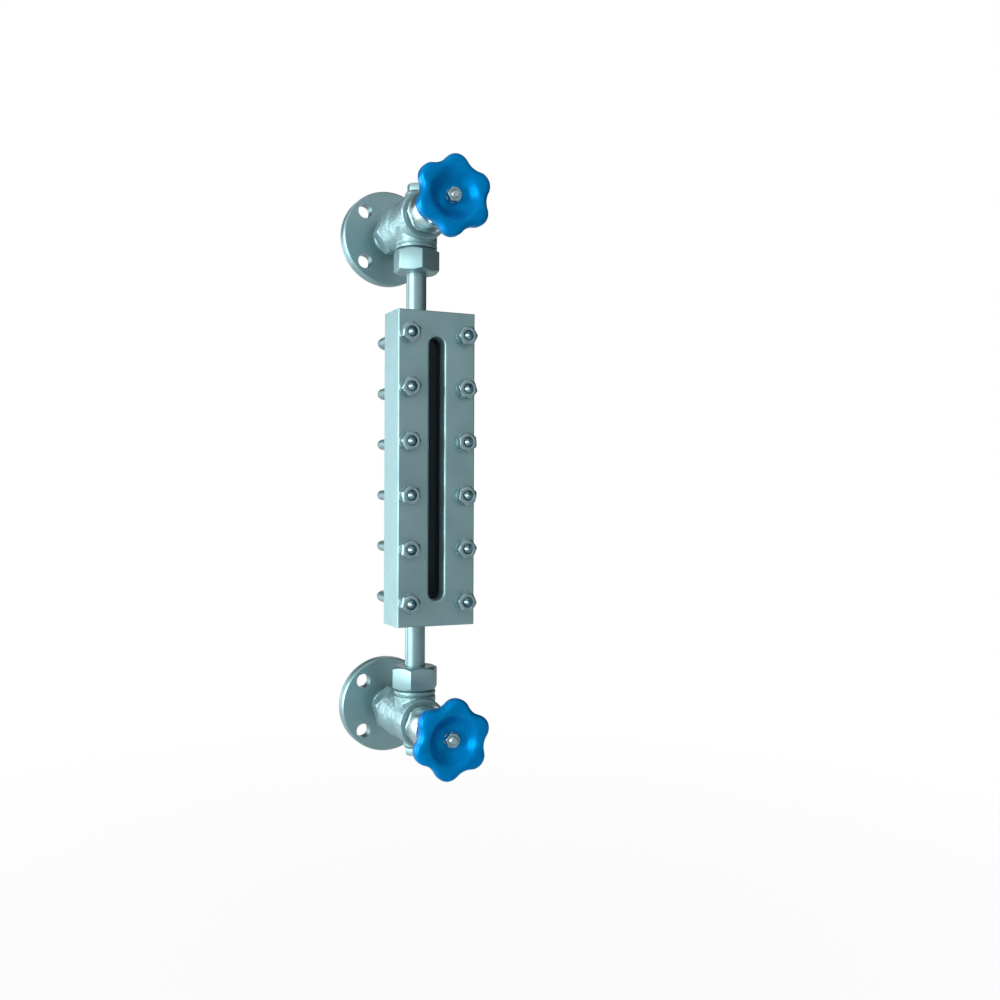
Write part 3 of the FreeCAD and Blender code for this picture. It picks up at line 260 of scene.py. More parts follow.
def polygon_outline(angles, sides, flats, rounding, turn):
    """A regular polygon with round corners.

    Near a corner the distance is that of a circle whose centre lies on the
    corner's line, elsewhere that of the flat, half its width over the cosine
    of the angle to the flat's middle.
    """
    half = math.pi / sides
    lean = np.abs(from_nearest(angles, sides, turn))
    flat = flats / 2 / np.cos(half - lean)
    centre = (flats / 2 - rounding) / math.cos(half)
    inside = np.maximum(rounding ** 2 - (centre * np.sin(lean)) ** 2, 0)
    corner = centre * np.cos(lean) + np.sqrt(inside)
    meets = math.atan2(rounding * math.sin(half), centre + rounding * math.cos(half))
    return np.where(lean < meets, corner, flat)


def lobed_outline(angles, lobes, outside, lobe, valley, turn):
    """Round lobes joined by hollow arcs, each tangent to its neighbours.

    On a lobe the distance is the far crossing with the lobe's circle, and in
    a valley the near crossing with the valley's circle, which lies outside.
    """
    half = math.pi / lobes
    lobe_at = outside - lobe
    chord = lobe_at * math.sin(half)
    valley_at = lobe_at * math.cos(half) + math.sqrt((lobe + valley) ** 2 - chord ** 2)
    lean = np.abs(from_nearest(angles, lobes, turn))
    across = lobe_at * np.sin(lean)
    bulge = lobe_at * np.cos(lean) + np.sqrt(np.maximum(lobe ** 2 - across ** 2, 0))
    rest = half - lean
    across = valley_at * np.sin(rest)
    hollow = valley_at * np.cos(rest) - np.sqrt(np.maximum(valley ** 2 - across ** 2, 0))
    share = lobe / (lobe + valley)
    meet_along = lobe_at + share * (valley_at * math.cos(half) - lobe_at)
    meet_across = share * valley_at * math.sin(half)
    return np.where(lean < math.atan2(meet_across, meet_along), bulge, hollow)


def corner_angles(sides, turn, per_side=16, crowding=0.86):
    """Angles that lie closer together at the corners of a polygon."""
    share = np.arange(sides * per_side) / per_side
    return (share - crowding * np.sin(math.tau * share) / math.tau) * math.tau / sides + turn


def even_angles(count):
    """Evenly spaced angles round an axis."""
    return np.arange(count) * math.tau / count


# Sections: rows of (place along the axis, distance from it) at every angle

def section(angles, rows):
    """Array of rows by angles by 2 from numbers or one value an angle."""
    level = np.zeros_like(angles)
    return np.array([[level + place, level + distance] for place, distance in rows]).transpose(0, 2, 1)


def thread_rows(angles, start, end, crest, pitch):
    """A right-hand thread: a triangle wave of the place less the share of a turn."""
    places = np.linspace(start, end, round(abs(end - start) / pitch * THREAD_ROWS) + 1)
    share = (places[:, None] / pitch - angles / math.tau) % 1
    depth = THREAD_DEPTH * pitch * np.abs(2 * share - 1)
    return [(place, crest - cut) for place, cut in zip(places, depth)]


def eased(profile, reach, closed=True):
    """Every corner becomes three points of a parabola that touches its two sides.

    It begins and ends at the reach from the corner, or short of the side's middle.
    """
    def towards(neighbour):
        step = neighbour - profile
        size = np.linalg.norm(step, axis=2, keepdims=True)
        return profile + step * np.minimum(reach / np.maximum(size, 1e-9), 0.45)
    start = towards(np.roll(profile, 1, axis=0))
    end = towards(np.roll(profile, -1, axis=0))
    middle = start / 4 + profile / 2 + end / 4
    rows = np.stack((start, middle, end), axis=1).reshape(-1, *profile.shape[1:])
    return rows if closed else np.concatenate((profile[:1], rows[3:-3], profile[-1:]))


def softened(profile, times):
    """Corner cutting round a closed section: two points a side, at its quarters."""
    for _ in range(times):
        after = np.roll(profile, -1, axis=0)
        pair = np.stack((profile * 0.75 + after * 0.25, profile * 0.25 + after * 0.75), axis=1)
        profile = pair.reshape(-1, *profile.shape[1:])
    return profile


def laid_level(profile, angles, side):
    """Points of a section turned round a valve's axis, which runs to the front."""
    place, distance = profile[..., 0], profile[..., 1]
    height = axis_height(side) + distance * np.sin(angles)
    return np.stack((distance * np.cos(angles), -place, height), axis=2)


def stood_upright(profile, angles, side):
    """Points of a section turned round the gauge pipe's axis on one valve."""
    place, distance = profile[..., 0], profile[..., 1]
    return np.stack((
        distance * np.cos(angles),
        distance * np.sin(angles) - pipe_depth(),
        axis_height(side) + gauge_way(side) * place,
    ), axis=2)


# Meshes

def grid_faces(rows, columns, closed):
    """Quads between neighbouring rows and columns, which close round the axis."""
    row, column = np.indices((rows if closed else rows - 1, columns))
    after, beside = (row + 1) % rows, (column + 1) % columns
    corners = ((row, column), (row, beside), (after, beside), (after, column))
    return np.stack([across * columns + along for across, along in corners], axis=2).reshape(-1, 4)


def grid_uv(points, closed):
    """UV of every face corner: share of a turn, and metres along the section."""
    rows, columns = points.shape[:2]
    steps = np.linalg.norm(np.roll(points, -1, axis=0) - points, axis=2).mean(axis=1)
    along = np.concatenate(([0], np.cumsum(steps))) * MM
    row, column = np.indices((rows if closed else rows - 1, columns))
    corners = ((0, 0), (0, 1), (1, 1), (1, 0))
    pairs = [((column + right) / columns, along[row + up]) for up, right in corners]
    return np.stack([np.stack(pair, axis=2) for pair in pairs], axis=2).reshape(-1, 2)


def new_object(name, data):
    """An object of a mesh, lamp or camera, linked to the scene."""
    thing = bpy.data.objects.new(name, data)
    bpy.context.scene.collection.objects.link(thing)
    return thing


def join_points(mesh, faces_outwards=False):
    """Join points that coincide, which closes poles, and turn the faces outwards if asked."""
    work = bmesh.new()
    work.from_mesh(mesh)
    bmesh.ops.remove_doubles(work, verts=work.verts, dist=SAME_POINT)
    if faces_outwards:
        bmesh.ops.recalc_face_normals(work, faces=work.faces)
    work.to_mesh(mesh)
    work.free()


def make_piece(name, grids, finish, node="", closed=True, crease=38):
    """One object from point grids in millimetres, in the place of a CAD node if one is given."""
    points = np.concatenate([grid.reshape(-1, 3) for grid in grids]) * MM
    starts = np.cumsum([0] + [grid.shape[0] * grid.shape[1] for grid in grids])
    faces = np.concatenate([
        grid_faces(*grid.shape[:2], closed) + start for grid, start in zip(grids, starts)
    ])
    mesh = bpy.data.meshes.new(name)
    mesh.from_pydata(points.tolist(), [], faces.tolist())
    layer = mesh.uv_layers.new(name=UV_NAME)
    layer.data.foreach_set("uv", np.concatenate([grid_uv(grid, closed) for grid in grids]).ravel())
    finish_piece(name, mesh, finish, node, crease)


def finish_piece(name, mesh, finish, node, crease):
    """Shade a mesh smooth, and hand it to the frame as a piece on its node's body."""
    mesh.name = name
    join_points(mesh, faces_outwards=True)
    mesh.polygons.foreach_set("use_smooth", np.ones(len(mesh.polygons), bool))
    mesh.set_sharp_from_angle(angle=math.radians(crease))
    mesh.materials.append(finish_named(finish))
    piece = new_object(name, mesh)
    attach(piece, body_of(node) if node else "root")
    if node:
        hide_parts(node)


# Finishes

def add_node(tree, kind, inputs=None, **settings):
    """Add one node, set its properties, and fill or link its inputs."""
    node = tree.nodes.new(kind)
    for name, value in settings.items():
        setattr(node, name, value)
    for name, value in (inputs or {}).items():
        if isinstance(value, bpy.types.NodeSocket):
            tree.links.new(value, node.inputs[name])
        else:
            node.inputs[name].default_value = value
    return node


def cleared_tree(owner):
    """The node tree of a material or a world, emptied."""
    owner.use_nodes = True
    owner.node_tree.nodes.clear()
    return owner.node_tree


def new_shader(tree, constants):
    """The one shader of a finish, its constants set on it, and the place on the piece."""
    shader = add_node(tree, "ShaderNodeBsdfPrincipled", constants)
    add_node(tree, "ShaderNodeOutputMaterial", {"Surface": shader.outputs["BSDF"]})
    return shader, add_node(tree, "ShaderNodeTexCoord").outputs["Object"]


def per_metre(millimetres):
    """Pattern scale on coordinates in metres for features of that size."""
    return 1 / (millimetres * MM)


def speckle(tree, place, millimetres, detail=2.0, low=0.35, high=0.65):
    """Noise of one feature size, spread from 0 to 1."""
    noise = add_node(tree, "ShaderNodeTexNoise", {
        "Vector": place, "Scale": per_metre(millimetres), "Detail": detail, "Roughness": 0.55,
    }).outputs["Fac"]
    return add_node(tree, "ShaderNodeMapRange", {
        "Value": noise, "From Min": low, "From Max": high,
    }).outputs["Result"]


def tones(tree, share, most, first, second):
    """A colour that goes with a share from the first tone to so much of the second."""
    part = add_node(tree, "ShaderNodeMapRange", {"Value": share, "To Max": most}).outputs["Result"]
    return add_node(tree, "ShaderNodeMix", {0: part, 6: first, 7: second}, data_type="RGBA").outputs[2]


def surface(tree, shader, colour, sheen, dents):
    """Give a shader its colour, roughness and bump.

    The sheen is a share with the roughness at 0 and at 1. The dents are a
    height from 0 to 1 with its real depth in millimetres and its strength.
    """
    share, smooth, rough = sheen
    height, depth, strength = dents
    roughness = add_node(tree, "ShaderNodeMapRange", {
        "Value": share, "To Min": smooth, "To Max": rough,
    })
    bump = add_node(tree, "ShaderNodeBump", {
        "Height": height, "Distance": depth * MM, "Strength": strength,
    })
    tree.links.new(colour, shader.inputs["Base Color"])
    tree.links.new(roughness.outputs["Result"], shader.inputs["Roughness"])
    tree.links.new(bump.outputs["Normal"], shader.inputs["Normal"])


def shaded(colour, factor):
    """The same colour, lighter or darker by a factor."""
    return tuple(value * factor for value in colour[:3]) + (1.0,)


def aluminium_coat(tree, colours, hump, height, smooth, rough):
    """Aluminium paint over a skin whose humps have a size and a height in mm.

    Its flakes lie in clouds about 38 mm wide, with a speckle of 1.3 mm.
    """
    shader, place = new_shader(tree, {"Metallic": 0.7, "IOR": 1.5})
    cloud = speckle(tree, place, 38, 3.0)
    coat = tones(tree, cloud, 0.45, colours.paint, colours.paint_shade)
    coat = tones(tree, speckle(tree, place, 1.3, 1.0), 0.16, coat, colours.paint_shade)
    humps = speckle(tree, place, hump, 2.0, 0.2, 0.8)
    surface(tree, shader, coat, (cloud, smooth, rough), (humps, height, 0.6))


def sprayed_aluminium_paint(tree, colours):
    """Aluminium paint sprayed on milled and drawn steel.

    The flakes lie flat, so it shines softly like brushed metal, and the spray
    leaves an orange-peel skin about 2 mm from hump to hump.
    """
    aluminium_coat(tree, colours, 2.0, 0.05, 0.3, 0.4)


def brushed_aluminium_paint(tree, colours):
    """The same paint brushed on thicker, on the chamber behind the cover.

    Its flakes lie less flat than sprayed ones, so it shines more dully.
    """
    aluminium_coat(tree, colours, 4.0, 0.08, 0.44, 0.54)


def painted_forging(tree, colours):
    """The same paint on the scaly skin of a forging.

    The skin's dents, some 3 mm wide, show through and break up the highlights.
    """
    aluminium_coat(tree, colours, 3.2, 0.25, 0.38, 0.48)


def enamelled_cast_iron(tree, colours):
    """Blue enamel with fine metal flakes, fired on sand-cast iron.

    The flakes keep its highlights blue, and the slow waves of the casting
    show under the glassy skin.
    """
    shader, place = new_shader(tree, {
        "Metallic": 0.45, "IOR": 1.4, "Specular Tint": colours.enamel_gloss,
    })
    colour = tones(tree, speckle(tree, place, 14), 1.0, colours.enamel, colours.enamel_shade)
    waves = speckle(tree, place, 3.4, 2.0, 0.2, 0.8)
    surface(tree, shader, colour, (speckle(tree, place, 5, 3.0), 0.26, 0.4), (waves, 0.12, 0.35))


def zinc_plated_steel(tree, colours):
    """Bolts, nuts and bonnets of steel, plated with zinc.

    Bluish silver with a satin shine, duller in clouds where it was handled.
    """
    shader, place = new_shader(tree, {"Metallic": 1.0})
    colour = tones(tree, speckle(tree, place, 6), 0.7, colours.zinc, colours.zinc_dull)
    grain = speckle(tree, place, 1.6, 2.0, 0.2, 0.8)
    surface(tree, shader, colour, (speckle(tree, place, 2.2, 3.0), 0.2, 0.32), (grain, 0.02, 0.25))


def turned_bright_steel(tree, colours):
    """Steel turned on a lathe and left bright.

    Fine grooves run round it. Real ones are 0.2 mm apart, too fine to show,
    so they are drawn 0.8 mm apart.
    """
    shader, place = new_shader(tree, {"Metallic": 1.0})
    unrolled = add_node(tree, "ShaderNodeUVMap", uv_map=UV_NAME).outputs["UV"]
    along = add_node(tree, "ShaderNodeSeparateXYZ", {"Vector": unrolled}).outputs["Y"]
    groove = add_node(tree, "ShaderNodeTexNoise", {
        "W": along, "Scale": per_metre(0.8), "Detail": 2.0, "Roughness": 0.6,
    }, noise_dimensions="1D").outputs["Fac"]
    colour = tones(tree, speckle(tree, place, 7, 3.0), 0.4, colours.steel, colours.zinc_dull)
    surface(tree, shader, colour, (groove, 0.2, 0.36), (groove, 0.02, 0.3))


def pressed_reflex_glass(tree, colours):
    """Borosilicate glass pressed with grooves at the back.

    Clear and polished in front. With liquid behind it the grooves let light
    through into the dark chamber, so it looks near black with sharp glints.
    That darkness is painted on as shade: the glass's own colour is set near black.
    """
    shader, place = new_shader(tree, {
        "IOR": 1.47, "Transmission Weight": 1.0, "Specular Tint": colours.glass_shine,
    })
    streak = speckle(tree, place, 9)
    # Painted shade: the near-black glass colour, varied at random by darker streaks
    colour = tones(tree, streak, 1.0, colours.glass, shaded(colours.glass, 0.6))
    surface(tree, shader, colour, (streak, 0.02, 0.07), (streak, 0.05, 0.08))


def compressed_fibre_sheet(tree, colours):
    """Fibre and rubber rolled to a sheet and cut to rings. Dull, with short fibres."""
    shader, place = new_shader(tree, {"IOR": 1.5})
    fibre = speckle(tree, place, 0.9, 3.0)
    colour = tones(tree, fibre, 1.0, colours.fibre, shaded(colours.fibre, 0.5))
    surface(tree, shader, colour, (fibre, 0.7, 0.92), (fibre, 0.05, 0.5))


def braided_graphite(tree, colours):
    """Graphite yarn braided and pressed to rings. Dark grey with a greasy shine."""
    shader, place = new_shader(tree, {"IOR": 1.6})
    yarn = add_node(tree, "ShaderNodeTexVoronoi", {
        "Vector": place, "Scale": per_metre(1.2),
    }).outputs["Distance"]
    colour = tones(tree, yarn, 1.0, shaded(colours.graphite, 1.8), colours.graphite)
    surface(tree, shader, colour, (yarn, 0.35, 0.6), (yarn, 0.2, 0.6))


FINISHES = {
    "grey_paint": sprayed_aluminium_paint,
    "brushed_paint": brushed_aluminium_paint,
    "forged_paint": painted_forging,
    "blue_enamel": enamelled_cast_iron,
    "bright_steel": turned_bright_steel,
    "zinc": zinc_plated_steel,
    "reflex_glass": pressed_reflex_glass,
    "sealing_sheet": compressed_fibre_sheet,
    "graphite": braided_graphite,
}


def finish_named(name):
    """The material of a finish, made the first time it is asked for."""
    build = FINISHES[name]
    material = bpy.data.materials.get(build.__name__)
    if material is None:
        material = bpy.data.materials.new(build.__name__)
        build(cleared_tree(material), bpy.context.scene.gauge_colours)
    return material


# Pieces

# Widths across the flats
FLATS = {
    "tail_nut": 42.0, "union_nut": 41.0, "bonnet": 40.0, "gland_nut": 36.0, "plug": 17.0,
    "cover_nut": 17.0, "wheel_nut": 13.0, "stem": 8.0,
}
# The bonnets' corners are turned down to this radius
BONNET_CORNER = 21.4
# The cover nuts are chamfered more: the share of the flats left on their ends
COVER_NUT_LAND = 0.87
# A square's corner lies an eighth of a turn from its side
SQUARE = math.pi / 4


def hexagon(kind, rounding, turn, land_share, per_side=16):
    """Angles round a hexagon, its outline there, and the radius of the flat land at its ends."""
    angles = corner_angles(6, turn, per_side)
    return angles, polygon_outline(angles, 6, FLATS[kind], rounding, turn), FLATS[kind] / 2 * land_share


def hexagon_end(distance, place, land, way):
    """Two rows at a chamfered end: the foot of a cone outside the flat land, and the land."""
    foot = place - way * np.maximum(distance - land, 0) * math.tan(CHAMFER)
    return [(foot, distance), (place, np.minimum(distance, land))]


def nut_section(angles, outline, land, rear, front, hole):
    """Closed section of a nut chamfered at both ends. The hole's rows run from front to rear."""
    return section(angles, [
        *reversed(hexagon_end(outline, rear, land, -1)),
        *hexagon_end(outline, front, land, 1),
        *hole,
    ])


def washer_section(angles, rear, front, hole, rim, softness):
    """Closed section of a washer with soft edges."""
    return eased(section(angles, [(rear, hole), (rear, rim), (front, rim), (front, hole)]), softness)


class GAUGE_OT_handwheels(bpy.types.Operator):
    """Make the two lobed handwheels: a soft rim, a bowl in front and a hollow back"""
    bl_idname = "gauge.handwheels"
    bl_label = "Handwheels"

    def execute(self, context):
        sizes = context.scene.gauge_handwheel
        bowl = sizes.bowl_radius / MM
        for side in SIDES:
            node = side + "_handwheel"
            rear, _ = depths(node)
            turn = clocked(side + "_wheel")
            angles = even_angles(216) + turn
            lobes = lobed_outline(
                angles, 6, sizes.rim_radius / MM, sizes.lobe_radius / MM, sizes.valley_radius / MM,
                turn + math.pi / 2
            )
            bore = polygon_outline(angles, 4, sizes.bore_flats / MM, 0.4, turn + SQUARE)
            bowl_rows = [
                (13, bore), (13, 8.6), (13.1, 11), (13.9, 14), (15.9, 17), (18.7, 20), (21.2, bowl - 1.9),
                (22.5, bowl),
            ]
            rim_rows = [
                (23, 15.5 + 0.35 * lobes), (22.8, 3 + 0.8 * lobes), (21.8, lobes - 1.6), (20, lobes - 0.3),
                (18.5, lobes), (15.5, lobes), (12.5, lobes), (10.2, lobes - 0.5), (8.8, lobes - 2),
                (8, lobes - 4.6),
            ]
            hollow_rows = [
                (8, 26.2), (8.3, 25.3), (9.5, 25), (15.2, 24.4), (16.4, 23.4), (16.5, 21.8), (14.5, 18.6),
                (11.5, 15.2), (9.3, 13.2), (8.4, 12.2),
            ]
            hub_rows = [(6.5, 11.3), (4, 11), (1.2, 11), (0.3, 10.6), (0, 9.8), (0, bore)]
            profile = section(angles, bowl_rows + rim_rows + hollow_rows + hub_rows)
            profile[..., 0] += rear
            grid = laid_level(softened(profile, 2), angles, side)
            make_piece(node + "_casting", [grid], "blue_enamel", node, crease=60)
        return {"FINISHED"}


class GAUGE_OT_stems(bpy.types.Operator):
    """Make the stems with their threads, square, washers and nuts"""
    bl_idname = "gauge.stems"
    bl_label = "Stems and wheel fixings"

    def execute(self, context):
        nuts = context.scene.gauge_nuts
        threads = context.scene.gauge_threads
        for side in SIDES:
            turn = clocked(side + "_wheel")
            rear, front = depths(side + "_stem")
            hub_rear, _ = depths(side + "_handwheel")
            washer_rear, washer_front = depths(side + "_wheel_washer")
            nut_rear, nut_front = depths(side + "_wheel_nut")
            _, bonnet_front = depths(side + "_bonnet")
            thread_end = bonnet_front - 19
            angles = corner_angles(4, turn + SQUARE, 10)
            square = polygon_outline(angles, 4, FLATS["stem"], 0.7, turn + SQUARE)
            profile = section(angles, [
                (rear, 0), (rear, 4.6), (rear + 0.4, 5), (rear + 2.2, 5), (rear + 2.2, 4), (rear + 7.5, 4),
                (rear + 7.5, 6.2),
                *thread_rows(angles, rear + 8.5, thread_end - 1, 7.0, threads.stem_pitch / MM),
                (thread_end, 6.0), (hub_rear - 0.6, 6.0), (hub_rear, 5.6),
                (hub_rear, square), (washer_rear - 0.4, square), (washer_rear - 0.3, 3.3),
                *thread_rows(angles, washer_rear, front - 1.0, 4.0, threads.stem_end_pitch / MM),
                (front, 2.9), (front, 0),
            ])
            grid = laid_level(profile, angles, side)
            make_piece(side + "_stem_turned", [grid], "bright_steel", side + "_stem", closed=False)
            angles = even_angles(64)
            grid = laid_level(washer_section(angles, washer_rear, washer_front, 4.1, 7.0, 0.35), angles, side)
            make_piece(side + "_wheel_washer_turned", [grid], "zinc", side + "_wheel_washer")
            angles, outline, land = hexagon("wheel_nut", 0.5, turn, nuts.land_share)
            hole = [(nut_front, 4.05), (nut_rear, 4.05)]
            profile = eased(nut_section(angles, outline, land, nut_rear, nut_front, hole), 0.25)
            grid = laid_level(profile, angles, side)
            make_piece(side + "_wheel_nut_pressed", [grid], "zinc", side + "_wheel_nut")
        return {"FINISHED"}


class GAUGE_OT_bonnets(bpy.types.Operator):
    """Make the bonnets with their gland threads, and the bright gland nuts on them"""
    bl_idname = "gauge.bonnets"
    bl_label = "Bonnets and gland nuts"

    def execute(self, context):
        nuts = context.scene.gauge_nuts
        pitch = context.scene.gauge_threads.gland_pitch / MM
        rounding = nuts.corner_rounding / MM
        reach = nuts.edge_rounding / MM
        for side in SIDES:
            node = side + "_bonnet"
            rear, front = depths(node)
            _, body_front = depths(side + "_valve_body")
            angles, outline, land = hexagon("bonnet", rounding, clocked(node), nuts.land_share)
            outline = np.minimum(outline, BONNET_CORNER)
            collar = body_front + 1.5
            hexagon_rear = body_front + 5
            hexagon_front = body_front + 11
            outside = eased(section(angles, [
                (rear, 7.1), (rear, 15.9), (collar, 15.9), (collar, 19), (hexagon_rear, 19),
                *reversed(hexagon_end(outline, hexagon_rear, land, -1)),
                *hexagon_end(outline, hexagon_front, land, 1),
                (hexagon_front, 16.4),
            ]), reach, closed=False)
            inside = section(angles, [
                *thread_rows(angles, hexagon_front + 0.8, front - 1.2, 17.5, pitch),
                (front, 16.2), (front, 10.5), (front - 12, 10.5), (front - 12, 7.1),
            ])
            grid = laid_level(np.concatenate((outside, inside)), angles, side)
            make_piece(node + "_turned", [grid], "zinc", node)
            node = side + "_gland_nut"
            rear, front = depths(node)
            angles, outline, land = hexagon("gland_nut", rounding, clocked(node), nuts.land_share)
            step = front - 10
            profile = section(angles, [
                (rear, 17.6), (rear, 19.3), (rear + 1.7, 21), (step - 0.8, 21), (step, 20.2),
                (step, outline - 0.2), (step + 0.6, outline),
                *hexagon_end(outline, front, land, 1),
                (front, 6.08), (front - 8, 6.08), (front - 8, 17.6),
            ])
            grid = laid_level(eased(profile, reach), angles, side)
            make_piece(node + "_turned", [grid], "bright_steel", node)
        return {"FINISHED"}


class GAUGE_OT_union_nuts(bpy.types.Operator):
    """Make the painted hexagon nuts at the tails and at the gauge pipes"""
    bl_idname = "gauge.union_nuts"
    bl_label = "Tail and union nuts"

    def execute(self, context):
        nuts = context.scene.gauge_nuts
        rounding = nuts.corner_rounding / MM
        reach = nuts.edge_rounding / MM
        for side in SIDES:
            for kind in ("tail_nut", "union_nut"):
                node = "%s_%s" % (side, kind)
                angles, outline, land = hexagon(kind, rounding, clocked(node), nuts.land_share)
                if kind == "tail_nut":
                    place = laid_level
                    rear, front = depths(node)
                    hole = [(front, 18.1), (rear + 4, 18.1), (rear + 4, 13.6), (rear, 13.6)]
                else:
                    place = stood_upright
                    rear, front = height_span(side, node)
                    hole = [(front, 10.1), (front - 3.5, 10.1), (front - 3.5, 17.6), (rear, 17.6)]
                profile = eased(nut_section(angles, outline, land, rear, front, hole), reach)
                make_piece(node + "_forged", [place(profile, angles, side)], "grey_paint", node)
        return {"FINISHED"}


class GAUGE_OT_plugs(bpy.types.Operator):
    """Make the hexagon plugs of the drain and the vent"""
    bl_idname = "gauge.plugs"
    bl_label = "Drain and vent plugs"

    def execute(self, context):
        nuts = context.scene.gauge_nuts
        for side, node in (("lower", "lower_drain_plug"), ("upper", "upper_vent_plug")):
            end, shank_end = height_span(side, node)
            angles, outline, land = hexagon("plug", 0.7, clocked(node), nuts.land_share)
            head = end + 7.5
            profile = section(angles, [
                (end, 0), (end, land - 1),
                *reversed(hexagon_end(outline, end, land, -1)),
                (head, outline), (head, 6.4), (shank_end - 0.8, 6.4), (shank_end, 5.6), (shank_end, 0),
            ])
            grid = stood_upright(eased(profile, 0.3, closed=False), angles, side)
            make_piece(node + "_turned", [grid], "grey_paint", node, closed=False)
        return {"FINISHED"}


# Clamping bolts: how many, rows round a bend, their radius, how much of a thread
# runs out, and how far the first nut is turned and each one more, in degrees
BOLTS = 6
BEND_ROWS = 25
BOLT_RADIUS = 5.0
RUN_OUT = 1.2
FIRST_TURN = 15
NEXT_TURN = 37


class GAUGE_OT_cover_bolts(bpy.types.Operator):
    """Make the bent bolts round the chamber, painted but for their threads, with washers and nuts"""
    bl_idname = "gauge.cover_bolts"
    bl_label = "Clamping bolts"

    def execute(self, context):
        sizes = context.scene.gauge_threads
        low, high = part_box("u_bolts")
        leg = high.x / MM - BOLT_RADIUS
        tip = -low.y / MM
        straight = tip + high.y / MM - leg - BOLT_RADIUS
        arc = math.pi * leg
        whole = 2 * straight + arc
        rows = np.linspace(low.z / MM + BOLT_RADIUS, high.z / MM - BOLT_RADIUS, BOLTS)
        angles = even_angles(20)
        threaded = sizes.bolt_length / MM
        plain = threaded + RUN_OUT
        near = section(angles, [
            (0, 0), (0.15, 0.5), (0.6, 1.1), (1.5, 2.0), (2.5, 3.0), (3.4, 4.0),
            *thread_rows(angles, 3.8, threaded, BOLT_RADIUS, sizes.bolt_pitch / MM),
            (plain, BOLT_RADIUS), (plain, 0),
        ])
        far = near[::-1].copy()
        far[..., 0] = whole - far[..., 0]
        bent = section(angles, [
            (plain, 0), (plain, BOLT_RADIUS),
            *[(straight + arc * share, BOLT_RADIUS) for share in np.linspace(0, 1, BEND_ROWS)],
            (whole - plain, BOLT_RADIUS), (whole - plain, 0),
        ])
        rods = [bent_rod(bent, angles, leg, tip, straight, height) for height in rows]
        make_piece("clamping_bolts", rods, "grey_paint", "u_bolts", closed=False)
        rods = [bent_rod(end, angles, leg, tip, straight, height) for height in rows for end in (near, far)]
        make_piece("clamping_bolt_threads", rods, "zinc", closed=False)
        places = [np.array((across, 0, height)) for height in rows for across in (-leg, leg)]
        rim = even_angles(48)
        washer = laid_level(washer_section(rim, *depths("washers"), 5.1, 10, 0.4), rim, "lower")
        make_piece("cover_washers", [washer + place for place in places], "zinc", "washers")
        rear, front = depths("nuts")
        hole = [(front, 5.1), (rear, 5.1)]
        grids = []
        for number, place in enumerate(places):
            turn = math.radians(FIRST_TURN + NEXT_TURN * number)
            angles, outline, land = hexagon("cover_nut", 0.6, turn, COVER_NUT_LAND, 12)
            profile = eased(nut_section(angles, outline, land, rear, front, hole), 0.3)
            grids.append(laid_level(profile, angles, "lower") + place)
        make_piece("cover_nuts", grids, "zinc", "nuts")
        return {"FINISHED"}


def bent_rod(profile, angles, leg, tip, straight, height):
    """A round section carried along a leg, a half circle and the other leg.

    The way along the rod gives the centre: along the first leg, then at
    the angle that is the rest over the bend's radius, then back along the
    other. The ring stands square to the way.
    """
    run, radius = profile[..., 0], profile[..., 1]
    swing = np.clip((run - straight) / leg, 0, math.pi)
    past = np.maximum(run - straight - math.pi * leg, 0)
    before = np.minimum(run, straight)
    centre_x = -leg * np.cos(swing)
    centre_y = -tip + before + leg * np.sin(swing) - past
    side = radius * np.cos(angles)
    return np.stack((
        centre_x - side * np.cos(swing),
        centre_y + side * np.sin(swing),
        height + radius * np.sin(angles),
    ), axis=2)


# Forged skin: the barrel's radius, how far outwards the skin begins, and the
# number, the lengths and the seed of its waves
BARREL_RADIUS = 24.5
SKIN_BEGINS = 5
WAVES = 24
WAVE_LENGTHS = (3, 8)
SKIN_SEED = 5


class GAUGE_OT_valve_bodies(bpy.types.Operator):
    """Make the forged valve bodies: the CAD solid with blended edges and a dented skin"""
    bl_idname = "gauge.valve_bodies"
    bl_label = "Valve bodies"

    def execute(self, context):
        sizes = context.scene.gauge_casting
        for side in SIDES:
            node = side + "_valve_body"
            mesh = frame["nodes"][node].data.copy()
            join_points(mesh)
            mesh.materials.clear()
            rough = new_object(node + "_rough", mesh)
            remesh = rough.modifiers.new("grain", "REMESH")
            remesh.mode = "VOXEL"
            remesh.voxel_size = sizes.grain
            seat = rough.modifiers.new("seat", "SHRINKWRAP")
            seat.target = frame["nodes"][node]
            blend = rough.modifiers.new("blend", "SMOOTH")
            blend.factor = 0.5
            blend.iterations = sizes.blend_passes
            context.view_layer.update()
            solid = rough.evaluated_get(context.evaluated_depsgraph_get())
            shaped = bpy.data.meshes.new_from_object(solid)
            bpy.data.objects.remove(rough)
            if len(shaped.polygons) == 0:
                raise RuntimeError("the remesh of %s is empty" % node)
            roughen(shaped, side, sizes.skin_depth)
            finish_piece(node + "_forged", shaped, "forged_paint", node, crease=60)
        return {"FINISHED"}


